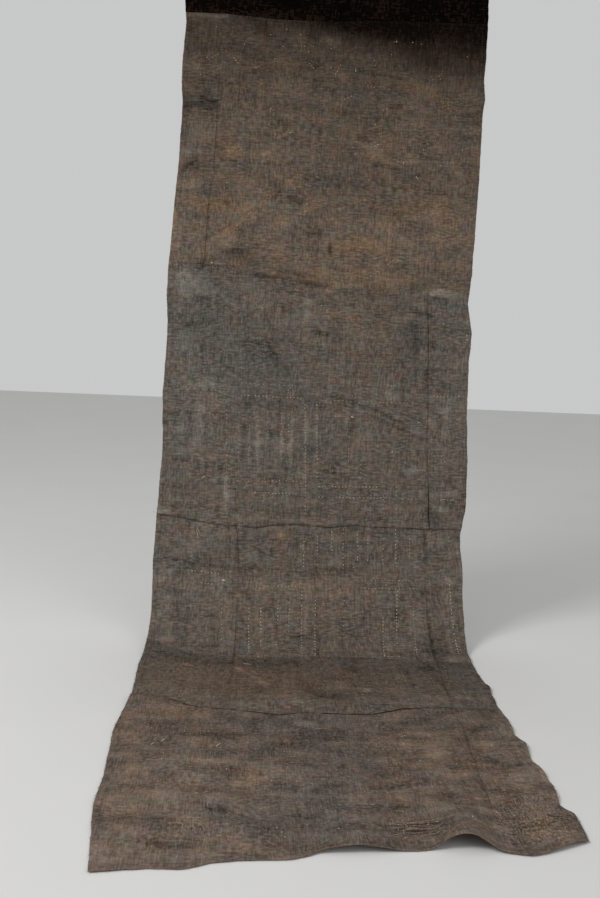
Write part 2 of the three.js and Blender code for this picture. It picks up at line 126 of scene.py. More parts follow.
# Creases and dents, given one by one: troughs, which get painted shade, and ridges, which get a painted
# highlight.
CREASES = rows(
    "across along wide long turn lift",
    # First panel
    (-316, 335, 31, 9, -11, -2.6), (-274, 321, 25, 9, 14, -2.6), (-270, 341, 17, 7, 2, -1.6),
    (-314, 470, 33, 9, -44, -3), (-228, 456, 36, 6, 8, -1.6), (-167, 453, 40, 6, -13, -1),
    (-114, 529, 27, 8, -37, -1.8), (-34, 550, 60, 9, 14, -1.6), (46, 547, 28, 7, 0, -1.4),
    (121, 241, 65, 7, 7, -1.8), (107, 445, 38, 7, 12, -1.2), (146, 455, 50, 8, 7, -2),
    (210, 471, 37, 7, -19, -1.8), (162, 504, 33, 7, -16, -1.6), (-47, 608, 29, 6, 24, -1.6),
    (18, 648, 22, 6, 84, -1.6), (305, 645, 46, 7, -37, -1.4), (306, 509, 47, 7, 4, -1.2),
    (-204, 664, 35, 11, 0, -2), (-29, 243, 43, 5, 55, -1), (-46, 355, 78, 5, 46, -0.8),
    (343, 334, 26, 9, 47, -1.6), (-4, 574, 64, 7, 0, -1), (-168, 594, 39, 7, -39, 0.9),
    (-173, 561, 43, 9, -29, 1.4), (-103, 491, 27, 7, 12, 1.2), (-64, 483, 28, 7, -35, 1.2),
    (-48, 433, 23, 9, 37, 0.9), (186, 619, 42, 12, 20, 1.2), (122, 658, 34, 7, -34, 0.8),
    (-75, 638, 22, 7, -45, -0.9), (-17, 612, 22, 18, 0, -2.2), (-319, 246, 33, 33, 0, 1.4),
    (-305, 303, 22, 15, 0, 1.8), (-283, 389, 44, 44, 0, 1.6), (-315, 437, 33, 29, 0, 1.2),
    (-304, 514, 26, 26, 0, 1.6), (-244, 240, 37, 26, 0, 1), (-178, 171, 29, 29, 0, 1.4),
    (-67, 164, 30, 29, 0, 1.4), (-5, 165, 30, 18, 0, 1.6), (273, 253, 53, 30, 0, 1.2),
    (186, 351, 34, 37, 0, 1.2), (100, 418, 41, 30, 0, 1.6), (199, 438, 19, 11, 0, 1.6),
    (313, 460, 11, 15, 0, 2.2), (-226, 632, 33, 26, 0, 1.2), (254, 556, 19, 22, 0, 1.4),
    (72, 415, 15, 15, 0, -1.6), (87, 393, 19, 11, 0, -2), (38, 336, 19, 15, 0, -1.6),
    (156, 313, 19, 15, 0, -1.6), (-111, 368, 29, 18, 0, -1.4), (-275, 698, 22, 15, 0, -2.4),
    (-169, 313, 15, 15, 0, -1.4), (118, 297, 15, 15, 0, -1.2), (268, 195, 38, 30, 0, -1.2),
    (-12, 512, 111, 44, 0, -0.8), (-203, 373, 59, 44, 0, 0.8), (284, 613, 68, 45, 0, 0.8),
    # Second panel
    (-118, 721, 52, 9, 4, -1.9), (-94, 705, 55, 6, 8, -1.8), (-17, 731, 44, 9, 9, -1.7),
    (143, 749, 63, 6, 4, -1.6), (187, 683, 36, 6, -17, -1.4), (32, 693, 21, 6, 22, -1.6),
    (-177, 756, 75, 6, 45, -1.2), (-87, 842, 75, 5, 42, -1.4), (-243, 800, 49, 7, 33, -1.4),
    (-220, 769, 57, 11, 38, 1.2), (-286, 793, 44, 9, 49, 0.9), (-151, 813, 53, 7, 39, 0.9),
    (-284, 835, 36, 9, -9, -2.4), (-104, 892, 40, 12, 66, -2.2), (-78, 925, 28, 7, 7, -2),
    (3, 843, 27, 9, 7, -2.2), (-209, 926, 23, 7, 43, -1.6), (-147, 872, 34, 7, 12, -1.6),
    (-173, 881, 22, 7, -22, -1), (63, 995, 38, 8, 6, -2.4), (145, 1019, 71, 8, 22, -2.6),
    (199, 1057, 82, 8, 22, -2.4), (236, 788, 26, 12, 11, -2.4), (230, 832, 40, 21, 85, -1.6),
    (290, 918, 51, 7, -6, -1.6), (-310, 1144, 41, 7, 12, -1.2), (-225, 1130, 58, 6, 1, -1.2),
    (48, 1164, 38, 6, 7, -1.4), (-46, 1160, 25, 6, -5, -1.6), (-141, 1212, 44, 7, 2, -1.4),
    (-297, 1211, 52, 6, 1, -1.2), (-301, 1255, 45, 7, 2, -1.4), (266, 1189, 22, 9, -2, -2.2),
    (19, 793, 21, 7, 31, 1.2), (52, 773, 32, 7, 44, 1), (192, 892, 26, 5, 61, -1),
    (-13, 1200, 78, 7, 87, 0.8), (-21, 1033, 43, 7, 87, 0.8), (-170, 1104, 63, 5, 87, 0.7),
    (-128, 1085, 74, 9, 86, 0.8), (18, 892, 29, 7, 85, 1), (-195, 1235, 35, 7, 85, 1),
    (133, 889, 128, 9, -2, -0.6), (-107, 970, 85, 9, 1, 0.6), (-274, 1038, 95, 9, -1, -0.6),
    (-290, 740, 44, 44, 0, 2), (-259, 769, 22, 22, 0, 1.4), (-134, 784, 29, 22, 0, 1.6),
    (-170, 744, 40, 11, 0, 1.6), (-23, 776, 15, 15, 0, 2.6), (-20, 804, 15, 18, 0, 1.6),
    (-308, 883, 22, 29, 0, 1.8), (-64, 896, 30, 33, 0, 1.4), (199, 803, 45, 22, 0, 1.6),
    (67, 920, 26, 26, 0, 1.2), (144, 924, 19, 19, 0, 1.2), (179, 981, 19, 30, 0, 2.4),
    (-93, 1077, 22, 15, 0, -2.6), (-162, 1018, 22, 15, 0, -1.6), (-265, 778, 18, 15, 0, -1.8),
    (260, 859, 23, 15, 0, -2), (261, 931, 15, 15, 0, -2.2), (236, 1155, 15, 15, 0, 2.6),
    (328, 1203, 19, 15, 0, 2.2), (311, 1246, 15, 15, 0, 2.2), (190, 1110, 11, 11, 0, 2),
    (-198, 1185, 11, 11, 0, 2.2), (-339, 1268, 22, 11, 0, 2.6), (-319, 1239, 22, 15, 0, 1.2),
    (-313, 1079, 22, 44, 0, 1), (-339, 1015, 18, 37, 0, 1.2), (-249, 968, 29, 18, 0, 1.2),
    (71, 1161, 15, 11, 0, 1.4), (129, 1154, 11, 11, 0, 2), (269, 1038, 15, 11, 0, 2),
    (-62, 1104, 30, 37, 0, 1.2), (227, 1062, 15, 11, 0, 1.6), (278, 1251, 19, 15, 0, -2.2),
    (-103, 1158, 18, 11, 0, -1.4), (284, 753, 23, 19, 0, -2), (274, 739, 15, 11, 0, 2.4),
    (-69, 792, 22, 18, 0, -1.4), (-1, 1263, 30, 11, 0, 0.9), (81, 924, 22, 37, 0, -1),
    (-157, 888, 51, 37, 0, -0.8), (304, 985, 53, 30, 0, 0.8), (45, 741, 74, 30, 0, 0.8),
    (-283, 641, 51, 29, 0, 0.6),
    # Third panel
    (-303, 1375, 55, 6, 4, -1.5), (-212, 1387, 60, 6, 6, -1.3), (-136, 1390, 40, 6, 2, -1.4),
    (-62, 1391, 52, 5, 0, -1.1), (32, 1390, 64, 6, 0, -1.4), (105, 1386, 35, 6, -4, -1.4),
    (301, 1377, 64, 6, -4, -1.1), (-163, 1352, 83, 5, 86, -1.2), (81, 1347, 53, 6, 88, -1.2),
    (78, 1517, 98, 6, -87, -1.4), (199, 1449, 56, 7, 86, -1.2), (278, 1432, 23, 9, 6, -2.4),
    (21, 1576, 45, 7, -88, -2.4), (133, 1481, 21, 7, 24, -1.4), (136, 1530, 44, 7, -16, -1.4),
    (-74, 1505, 63, 9, 82, -1), (-134, 1461, 31, 7, 83, -0.9), (274, 1336, 44, 7, 87, -1.6),
    (275, 1550, 75, 9, 89, -2.6), (-183, 1521, 106, 20, 88, 1.2), (-7, 1494, 56, 9, 88, 1.2),
    (-103, 1518, 49, 7, 89, 0.9), (-40, 1497, 42, 9, 88, 0.9), (201, 1445, 23, 7, 88, 1.2),
    (328, 1450, 29, 9, -90, 1.8), (316, 1554, 68, 7, 88, 1.2), (-209, 1531, 66, 6, 87, -0.7),
    (-307, 1512, 77, 9, 84, 0.8), (-275, 1519, 76, 7, 85, -0.8), (22, 1345, 42, 7, 86, -1),
    (141, 1494, 61, 7, -88, -0.5), (50, 1499, 59, 9, -90, 0.5), (-19, 1543, 25, 13, 0, -2.2),
    (209, 1483, 22, 23, 0, -1.6), (-273, 1500, 29, 34, 0, -1.2), (-135, 1363, 22, 21, 0, 2.2),
    (63, 1368, 19, 21, 0, 2.2), (55, 1319, 15, 25, 0, 1.2), (-197, 1421, 22, 14, 0, 2.4),
    (-323, 1465, 18, 22, 0, 1.8), (-325, 1409, 29, 28, 0, 1), (-310, 1561, 24, 14, 0, 2.2),
    (329, 1408, 15, 14, 0, 2.6), (321, 1612, 29, 25, 0, 2.4), (136, 1595, 14, 24, 0, 2.2),
    (243, 1494, 18, 31, 0, 1.2), (-72, 1572, 10, 11, 0, 2), (-90, 1342, 29, 43, 0, -0.8),
    (-61, 1311, 22, 29, 0, 0.9), (-195, 1315, 29, 29, 0, 0.8), (279, 1470, 22, 11, 0, -1.4),
    (-253, 1391, 22, 14, 0, -0.9), (-136, 1394, 15, 11, 0, -0.8), (317, 1322, 30, 29, 0, 0.9),
    # Where the cloth turns out at the foot
    (-297, 1626, 65, 14, 25, -1.6), (-199, 1656, 48, 28, 0, -1.2), (-102, 1654, 45, 28, 10, -1.2),
    (262, 1585, 40, 7, 78, -1.6), (247, 1640, 34, 8, 60, -1.6), (285, 1660, 34, 8, 48, -1.4),
    (236, 1600, 30, 12, 84, -1.2), (86, 1676, 47, 21, 64, -1.8), (-24, 1651, 31, 14, 60, -1.4),
    (17, 1845, 24, 20, 15, -2.2), (198, 1725, 74, 10, 88, -1.8), (-20, 1830, 74, 11, 41, 1.4),
    (-98, 1827, 53, 9, -45, 1.2), (-128, 1725, 64, 11, 54, 1.4), (255, 1729, 62, 8, 82, -1.6),
    (103, 1821, 35, 12, -37, -1), (-21, 1766, 26, 51, 0, -1.4), (242, 1657, 24, 35, 0, -2.2),
    (102, 1795, 16, 25, 0, 2.4), (49, 1766, 29, 34, 0, 1.2), (165, 1803, 32, 25, 0, 1.2),
    (-287, 1791, 44, 49, 0, 0.6), (289, 1829, 22, 24, 0, 2), (239, 1830, 45, 32, 0, 1),
    (-41, 1874, 15, 15, 0, 2), (-109, 1889, 12, 15, 0, 2),
    # Fourth panel, on the floor
    (-211, 2268, 33, 8, 13, -1.2), (-166, 2286, 35, 7, 25, -1.8), (-109, 2302, 40, 6, -3, -1.2),
    (-54, 2292, 32, 8, -6, -1.6), (87, 2163, 30, 10, 20, -1.4), (102, 2190, 54, 10, -8, -1.6),
    (17, 2324, 14, 11, 34, -2), (60, 2318, 24, 13, 37, -2.2), (133, 2315, 33, 11, -11, -2.6),
    (227, 2256, 35, 7, -88, -1.8), (-327, 2063, 37, 12, -18, -1), (-350, 2177, 28, 13, -23, -1),
    (3, 2206, 29, 9, -15, 1.4), (204, 2014, 28, 12, -13, 1.6), (191, 2074, 27, 11, -13, 1.6),
    (167, 1977, 44, 13, 5, -1), (216, 2104, 26, 11, -11, -1.2), (232, 2178, 35, 10, 87, -1.8),
    (308, 2118, 39, 9, -21, -1.4), (325, 2057, 25, 11, -12, -1.4), (280, 2077, 30, 11, -10, 1.4),
    (314, 2157, 36, 13, -15, 1.4), (270, 2225, 25, 11, -20, -1.2), (-98, 2042, 65, 12, -10, -0.8),
    (-1, 2103, 62, 11, 1, -0.8), (-234, 2215, 67, 10, -8, -0.7), (-182, 2119, 61, 11, 5, 0.7),
    (118, 2092, 44, 11, -8, 0.9), (-73, 2228, 75, 10, 0, 0.7), (-254, 2363, 60, 11, -8, -0.6),
    (-86, 2351, 62, 11, -9, 0.6), (188, 2328, 18, 8, 45, -1.6), (-31, 1956, 29, 21, 0, 2.6),
    (-330, 2115, 18, 35, 0, 1.4), (340, 2036, 14, 26, 0, 2), (338, 2103, 14, 24, 0, 1.6),
    (152, 2263, 22, 29, 0, 2.4), (222, 2274, 17, 19, 0, 2.2), (228, 2324, 17, 18, 0, 2.4),
    (176, 2313, 19, 18, 0, 1.6), (300, 2289, 20, 28, 0, 2), (314, 2344, 36, 22, 0, 1.6),
    (105, 2350, 21, 17, 0, 1.4), (4, 2296, 26, 18, 0, 1), (172, 2199, 15, 31, 0, -2),
    (50, 2098, 16, 24, 0, -1.4), (7, 2021, 14, 20, 0, -1.4), (320, 2292, 12, 19, 0, -2.2),
    (350, 2295, 15, 23, 0, -2), (252, 2362, 21, 21, 0, -1.6), (-331, 2304, 28, 23, 0, -1),
    (-207, 2307, 23, 27, 0, 1), (-187, 2377, 11, 25, 0, -1.2), (-273, 2381, 26, 24, 0, -0.8),
    (-135, 2340, 59, 22, 0, 0.6), (-354, 2262, 12, 38, 0, 1), (329, 1828, 13, 32, 0, 2),
    (287, 2033, 17, 19, 0, 1.4), (96, 2227, 10, 10, 0, 1.6),
    # Fine wrinkles behind the high wave of the front edge
    (100, 2298, 42, 5, -7, -1.3), (96, 2312, 54, 5, -7, -1.6), (114, 2324, 58, 5, -5, -1.6),
    (98, 2336, 40, 5, -5, -1.1), (110, 2305, 46, 4, -6, 0.9), (112, 2318, 56, 4, -6, 1.0),
    # Rolled hems of the second panel and of the first
    (-30, 1279, 150, 9, 1, 1.5), (-290, 128, 60, 8, 0, 1.6),
)


def wrapped_noise(x, y, seed):
    """Smooth noise from -1 to 1. x and y count its cells."""
    cells = 97
    lattice = np.random.default_rng(seed).uniform(-1, 1, (cells, cells))
    column = np.floor(x).astype(int)
    row = np.floor(y).astype(int)
    u = x - column
    v = y - row
    u = u * u * (3 - 2 * u)
    v = v * v * (3 - 2 * v)
    upper = lattice[row % cells, column % cells] * (1 - u) + lattice[row % cells, (column + 1) % cells] * u
    lower_row = (row + 1) % cells
    lower = lattice[lower_row, column % cells] * (1 - u) + lattice[lower_row, (column + 1) % cells] * u
    return upper * (1 - v) + lower * v


def fade(value, low, high):
    """0 below low, 1 above high and smooth between them; low may be the larger."""
    share = np.clip((value - low) / (high - low), 0, 1)
    return share * share * (3 - 2 * share)


def reading(table, key, value):
    """Reads a column of a table between its rows, in straight lines, and on past its ends."""
    at, found = table[key], table[value]

    def read(place):
        place = np.asarray(place, float)
        before = found[0] + (place - at[0]) * (found[1] - found[0]) / (at[1] - at[0])
        after = found[-1] + (place - at[-1]) * (found[-1] - found[-2]) / (at[-1] - at[-2])
        inside = np.interp(place, at, found)
        return np.where(place < at[0], before, np.where(place > at[-1], after, inside))

    return read


SLOW_WAVE, QUICK_WAVE = 31, 9  # lengths of a sewn line's small waves


class EdgeLine:
    """A sewn or hemmed line, never quite straight. crossings says where the seams of strips run
    into it, and dark how dark a thread shadow it shows along its length."""

    def __init__(self, table, key, value, wobble, seed, dark=None, crossings=(), spread=1.9):
        self.line = reading(table, key, value)
        self.wobble = wobble
        self.seed = seed
        self.dark = dark
        self.crossings = crossings
        self.spread = spread

    def __call__(self, place):
        place = np.asarray(place, float)
        slow = wrapped_noise(place / SLOW_WAVE + 40, place * 0 + 3.5, self.seed)
        quick = wrapped_noise(place / QUICK_WAVE + 40, place * 0 + 7.5, self.seed)
        return self.line(place) + self.wobble * (slow + 0.55 * quick)

    def darkness(self, place):
        return np.interp(place, self.dark["at"], self.dark["dark"]) if self.dark else place * 0

    def rise(self, place):
        """How far the upper piece stands off: twice as far where it also clears a strip's seam."""
        more = place * 0
        for crossing in self.crossings:
            more = np.maximum(more, fade(np.abs(place - crossing), 34, 12))
        return LAP_RISE * (1 + more)


def walk_sweep(run):
    """Forward, down and turn after a run of cloth along the arcs of the foot."""
    rest = np.array(run, float)
    angle = np.zeros_like(rest)
    forward = np.zeros_like(rest)
    down = np.zeros_like(rest)
    for arc_run, arc_turn in zip(SWEEP["run"], np.radians(SWEEP["turn"])):
        radius = arc_run / arc_turn
        part = np.clip(rest / arc_run, 0, 1) * arc_turn
        forward += radius * (np.cos(angle) - np.cos(angle + part))
        down += radius * (np.sin(angle + part) - np.sin(angle))
        angle += part
        rest -= arc_run
    return forward, down, angle


SWEEP_RUN = SWEEP["run"].sum()
SWEEP_DOWN = float(walk_sweep(SWEEP_RUN)[1])
FOOT = RESTING - SWEEP_DOWN    # where the middle of the cloth starts to sweep out
FLOOR_FROM = FOOT + SWEEP_RUN


def plain_cloth(across, along):
    """The middle layer without folds, and the way its face looks."""
    size = np.interp(across, SWEEP_SIZE["across"], SWEEP_SIZE["size"])
    straight = RESTING - SWEEP_DOWN * size
    run = along - straight
    forward, down, angle = walk_sweep(np.clip(run / size, 0, SWEEP_RUN))
    over = np.maximum(run - SWEEP_RUN * size, 0)
    y = -(forward * size + over)
    z = -(np.minimum(along, straight) + down * size)
    point = np.stack([across, y, z], -1)
    facing = np.stack([np.zeros_like(angle), -np.cos(angle), np.sin(angle)], -1)
    return point, facing


def mounds(table, across, along, ridged=False):
    """Sum of a table's mounds: each a bell that reaches zero at its rim, or a ridge of even height."""
    total = np.zeros_like(across)
    for x, s, wide, long, turn, lift in zip(*table.values()):
        reach = max(wide, long)
        if x + reach < across.min() or x - reach > across.max():
            continue
        if s + reach < along.min() or s - reach > along.max():
            continue
        cosine, sine = math.cos(math.radians(turn)), math.sin(math.radians(turn))
        u = ((across - x) * cosine + (along - s) * sine) / wide
        v = ((along - s) * cosine - (across - x) * sine) / long
        if ridged:
            total += lift * np.maximum(0, 1 - u**4) * np.maximum(0, 1 - v * v) ** 2
        else:
            total += lift * np.maximum(0, 1 - u * u - v * v) ** 2
    return total


def creases(across, along):
    """The creases and dents, which wander a little about their places."""
    wander = 3.0
    aside = wander * wrapped_noise(across / 24, along / 24, 17)
    ahead = wander * wrapped_noise(across / 21, along / 21, 18)
    return mounds(CREASES, across + aside, along + ahead, ridged=True)


# Small unevenness of old, starched cloth: each wave's height, its lengths, its slant and its seed.
HANGING_WAVES = rows(
    "height across along slant seed",
    (1.1, 74, 52, 0, 11), (0.5, 31, 19, 0, 12), (0.16, 11, 7, 0, 13),
)
FLOOR_WAVES = rows(
    "height across along slant seed",
    (1.05, 120, 21, 0.0025, 14), (0.6, 46, 13, 0, 15), (0.25, 13, 6, 0, 16),
)


def waves(table, across, along):
    total = np.zeros_like(across)
    for height, wide, long, slant, seed in zip(*table.values()):
        total += height * wrapped_noise(across / wide + along * slant, along / long, int(seed))
    return total


def crumple(across, along):
    """The small waves. On the floor they only rise."""
    lying = fade(along, FOOT, FLOOR_FROM)
    rises = np.maximum(0, 1.0 + waves(FLOOR_WAVES, across, along))
    return waves(HANGING_WAVES, across, along) * (1 - lying) + rises * lying


def cloth(across, along):
    """The middle layer with its folds. The part that lies doesn't sink into the floor."""
    point, facing = plain_cloth(across, along)
    lift = mounds(FOLDS, across, along) + creases(across, along) + crumple(across, along)
    lying = fade(along, FLOOR_FROM - 120, FLOOR_FROM)
    softness = 0.6
    only_up = (lift + np.sqrt(lift * lift + softness)) / 2
    lift = lift * (1 - lying) + only_up * lying
    return point + facing * lift[..., None]


# Painted shade on the cloth just past the bend, and a painted highlight just before it.
BEND_SHADE, BEND_GLOW = 0.24, 0.06


def lightness(across, along):
    """How light the cloth is along its length, with painted shade towards its top, and the painted shade and
    highlight at the bend of its foot.
    """
    past = along - np.interp(across, BEND["across"], BEND["along"])
    below = fade(past, -3, 4) * (1 - 0.35 * fade(past, 15, 110)) * fade(past, 260, 150)
    above = fade(past, -16, -6) * fade(past, 1, -5)
    bend = 1 - BEND_SHADE * below + BEND_GLOW * above
    return np.interp(along, LIGHT_ALONG_LENGTH["along"], LIGHT_ALONG_LENGTH["light"]) * bend


def cloth_frame(across, along):
    """The middle layer's point, its way across, its way along and its face direction."""
    probe = 0.6
    point = cloth(across, along)
    sideways = cloth(across + probe, along) - cloth(across - probe, along)
    onward = cloth(across, along + probe) - cloth(across, along - probe)
    facing = np.cross(onward, sideways)
    for direction in (sideways, onward, facing):
        direction /= np.linalg.norm(direction, axis=-1, keepdims=True)
    return point, sideways, onward, facing


# Stains and faded patches: each a soft mound of one tone.

WARMTH = rows(
    "across along wide long turn lift",
    (-60, 1760, 480, 190, 0, 0.9), (0, 1500, 420, 160, 0, 0.25), (-152, 239, 92, 29, 0, 0.5),
    (210, 273, 82, 33, 0, 0.7), (-228, 432, 51, 37, 0, 0.6), (122, 401, 75, 56, 0, 0.7),
    (-229, 563, 128, 33, 0, 0.9), (-22, 552, 52, 26, 0, 0.5), (188, 548, 169, 37, 0, 0.6),
    (98, 634, 149, 37, 0, 0.9), (271, 567, 94, 74, 0, 0.4), (-215, 626, 55, 37, 0, 0.4),
    (-285, 332, 44, 29, 0, -0.7), (59, 289, 45, 74, 0, -0.4), (-317, 391, 36, 92, 0, -0.4),
    (9, 476, 74, 55, 0, -0.35), (-273, 847, 146, 165, 0, -0.8), (-143, 934, 166, 110, 0, -0.8),
    (-278, 744, 91, 55, 0, -0.5), (-297, 1078, 73, 147, 0, -0.5), (14, 1089, 67, 92, 0, -0.5),
    (225, 860, 45, 149, 0, -0.5), (309, 891, 45, 223, 0, -0.3), (-146, 1118, 110, 92, 0, -0.3),
    (71, 809, 67, 55, 0, 0.8), (150, 759, 112, 111, 0, 0.4), (132, 876, 112, 111, 0, 0.3),
    (55, 706, 149, 55, 0, 0.5), (-48, 745, 92, 74, 0, 0.3), (-68, 1311, 44, 36, 0, 0.6),
    (50, 1431, 147, 54, 0, 0.6), (-132, 1459, 109, 93, 0, 0.3), (165, 1594, 28, 41, 0, 0.6),
    (-151, 1569, 42, 55, 0, -0.3), (-295, 1375, 91, 71, 0, -0.3), (-230, 1757, 160, 125, 0, 0.4),
    (-52, 1795, 127, 98, 0, 0.4), (-260, 1921, 117, 85, 0, 0.6), (-337, 2050, 54, 149, 0, 0.5),
    (-209, 2056, 41, 31, 0, 0.9), (-40, 1962, 190, 60, 0, -1.0), (-134, 2172, 56, 53, 0, 0.9),
    (-314, 2258, 71, 159, 0, 0.5), (-210, 2232, 73, 59, 0, 0.4), (3, 2061, 96, 148, 0, -0.6),
    (-28, 2238, 98, 106, 0, -0.8), (-179, 2291, 58, 37, 0, -0.5), (176, 2055, 127, 178, 0, 0.6),
    (195, 1950, 60, 46, 0, -0.9), (-116, 2069, 60, 60, 0, -0.4), (-120, 2315, 66, 60, 0, -0.7),
    (-6, 2335, 90, 60, 0, -0.8), (60, 1830, 110, 50, 0, -0.3), (95, 2234, 75, 74, 0, 0.3),
    (261, 2198, 104, 126, 0, 0.5), (296, 2321, 48, 62, 0, 1), (-324, 2411, 53, 31, 0, 0.4),
    (-218, 2389, 131, 48, 0, 0.3),
)
# Pale patches. The rows along the seams' rolled hems are partly painted highlight, where the light catches
# the hems.
PALE = rows(
    "across along wide long turn lift",
    (-131, 1090, 15, 96, 0, 0.9), (-109, 1075, 11, 74, 0, 0.7), (-74, 1092, 11, 103, 0, 0.9),
    (-53, 1096, 11, 103, 0, 0.8), (-197, 1224, 11, 51, 0, 1.3), (-183, 1228, 11, 51, 0, 0.9),
    (-20, 1114, 9, 166, 0, 0.6), (4, 1066, 9, 148, 0, 0.6), (100, 1086, 9, 148, 0, 0.5),
    (126, 1096, 9, 111, 0, 0.6), (-271, 1054, 37, 110, 0, 0.5), (299, 1195, 53, 30, 0, 0.5),
    (-254, 973, 59, 11, 0, 0.8), (266, 982, 75, 11, 0, 0.7), (108, 1208, 112, 9, 0, 0.6),
    (301, 1237, 38, 11, 0, 0.9), (128, 1245, 19, 11, 0, 1.2), (-198, 1185, 18, 11, 0, 1),
    (-290, 760, 80, 60, 0, 0.5), (-300, 1350, 60, 90, 0, 0.3), (-240, 2300, 120, 60, 0, 0.35),
    (280, 2310, 90, 80, 0, 0.35), (-300, 2400, 110, 60, 0, 0.3), (-290, 129, 60, 6, 0, 0.7),
    (-205, 127, 52, 6, 3, 0.6), (-247, 125, 14, 9, 0, 1.4), (-140, 133, 48, 6, 12, 0.7),
    (-96, 148, 30, 5, 14, 0.8), (278, 737, 60, 15, 0, 1.6), (242, 825, 11, 156, 0, 0.7),
    (330, 741, 30, 11, 0, 1.2), (171, 981, 26, 20, 0, 0.9), (-223, 1184, 20, 14, 0, 0.9),
    (219, 1155, 20, 20, 0, 0.9), (-20, 1175, 24, 8, 0, 0.6), (300, 1010, 40, 12, 0, 0.7),
    (290, 1180, 36, 12, 0, 0.5), (-348, 1262, 22, 15, 0, 2.2), (-230, 1900, 70, 14, 8, 0.5),
    (48, 1958, 60, 16, 0, 0.6), (-160, 2005, 30, 16, 0, 0.5),
)
# Light and dark along the cloth: painted shade darkens the first panel towards its top, and elsewhere the
# cloth grows lighter and darker along its length.
LIGHT_ALONG_LENGTH = rows(
    "along light",
    (110, 0.44), (200, 0.52), (300, 0.78), (420, 0.91), (600, 1.12), (740, 1.1), (800, 1.08),
    (950, 1.14), (1100, 1.24), (1250, 1.27), (1400, 1.18), (1560, 1.08), (1900, 1.06), (2000, 1.0),
    (2200, 1.1), (2400, 1.14),
)
# The line at which the foot turns out: painted highlight above it and painted shade below.
BEND = rows(
    "across along",
    (-347, 1565), (-270, 1608), (-167, 1635), (21, 1612), (194, 1617), (345, 1632),
)
# The near-black of the top band runs on down into the next panel as painted shadow, most on its right.
BAND_SHADOW_REACH = rows(
    "across full clear",
    (-340, 110, 122), (-250, 106, 128), (-190, 92, 150), (-128, 82, 165), (-60, 104, 172),
    (10, 124, 180), (70, 134, 192), (125, 140, 204), (170, 132, 232), (218, 124, 256), (293, 119, 270),
    (347, 119, 274),
)
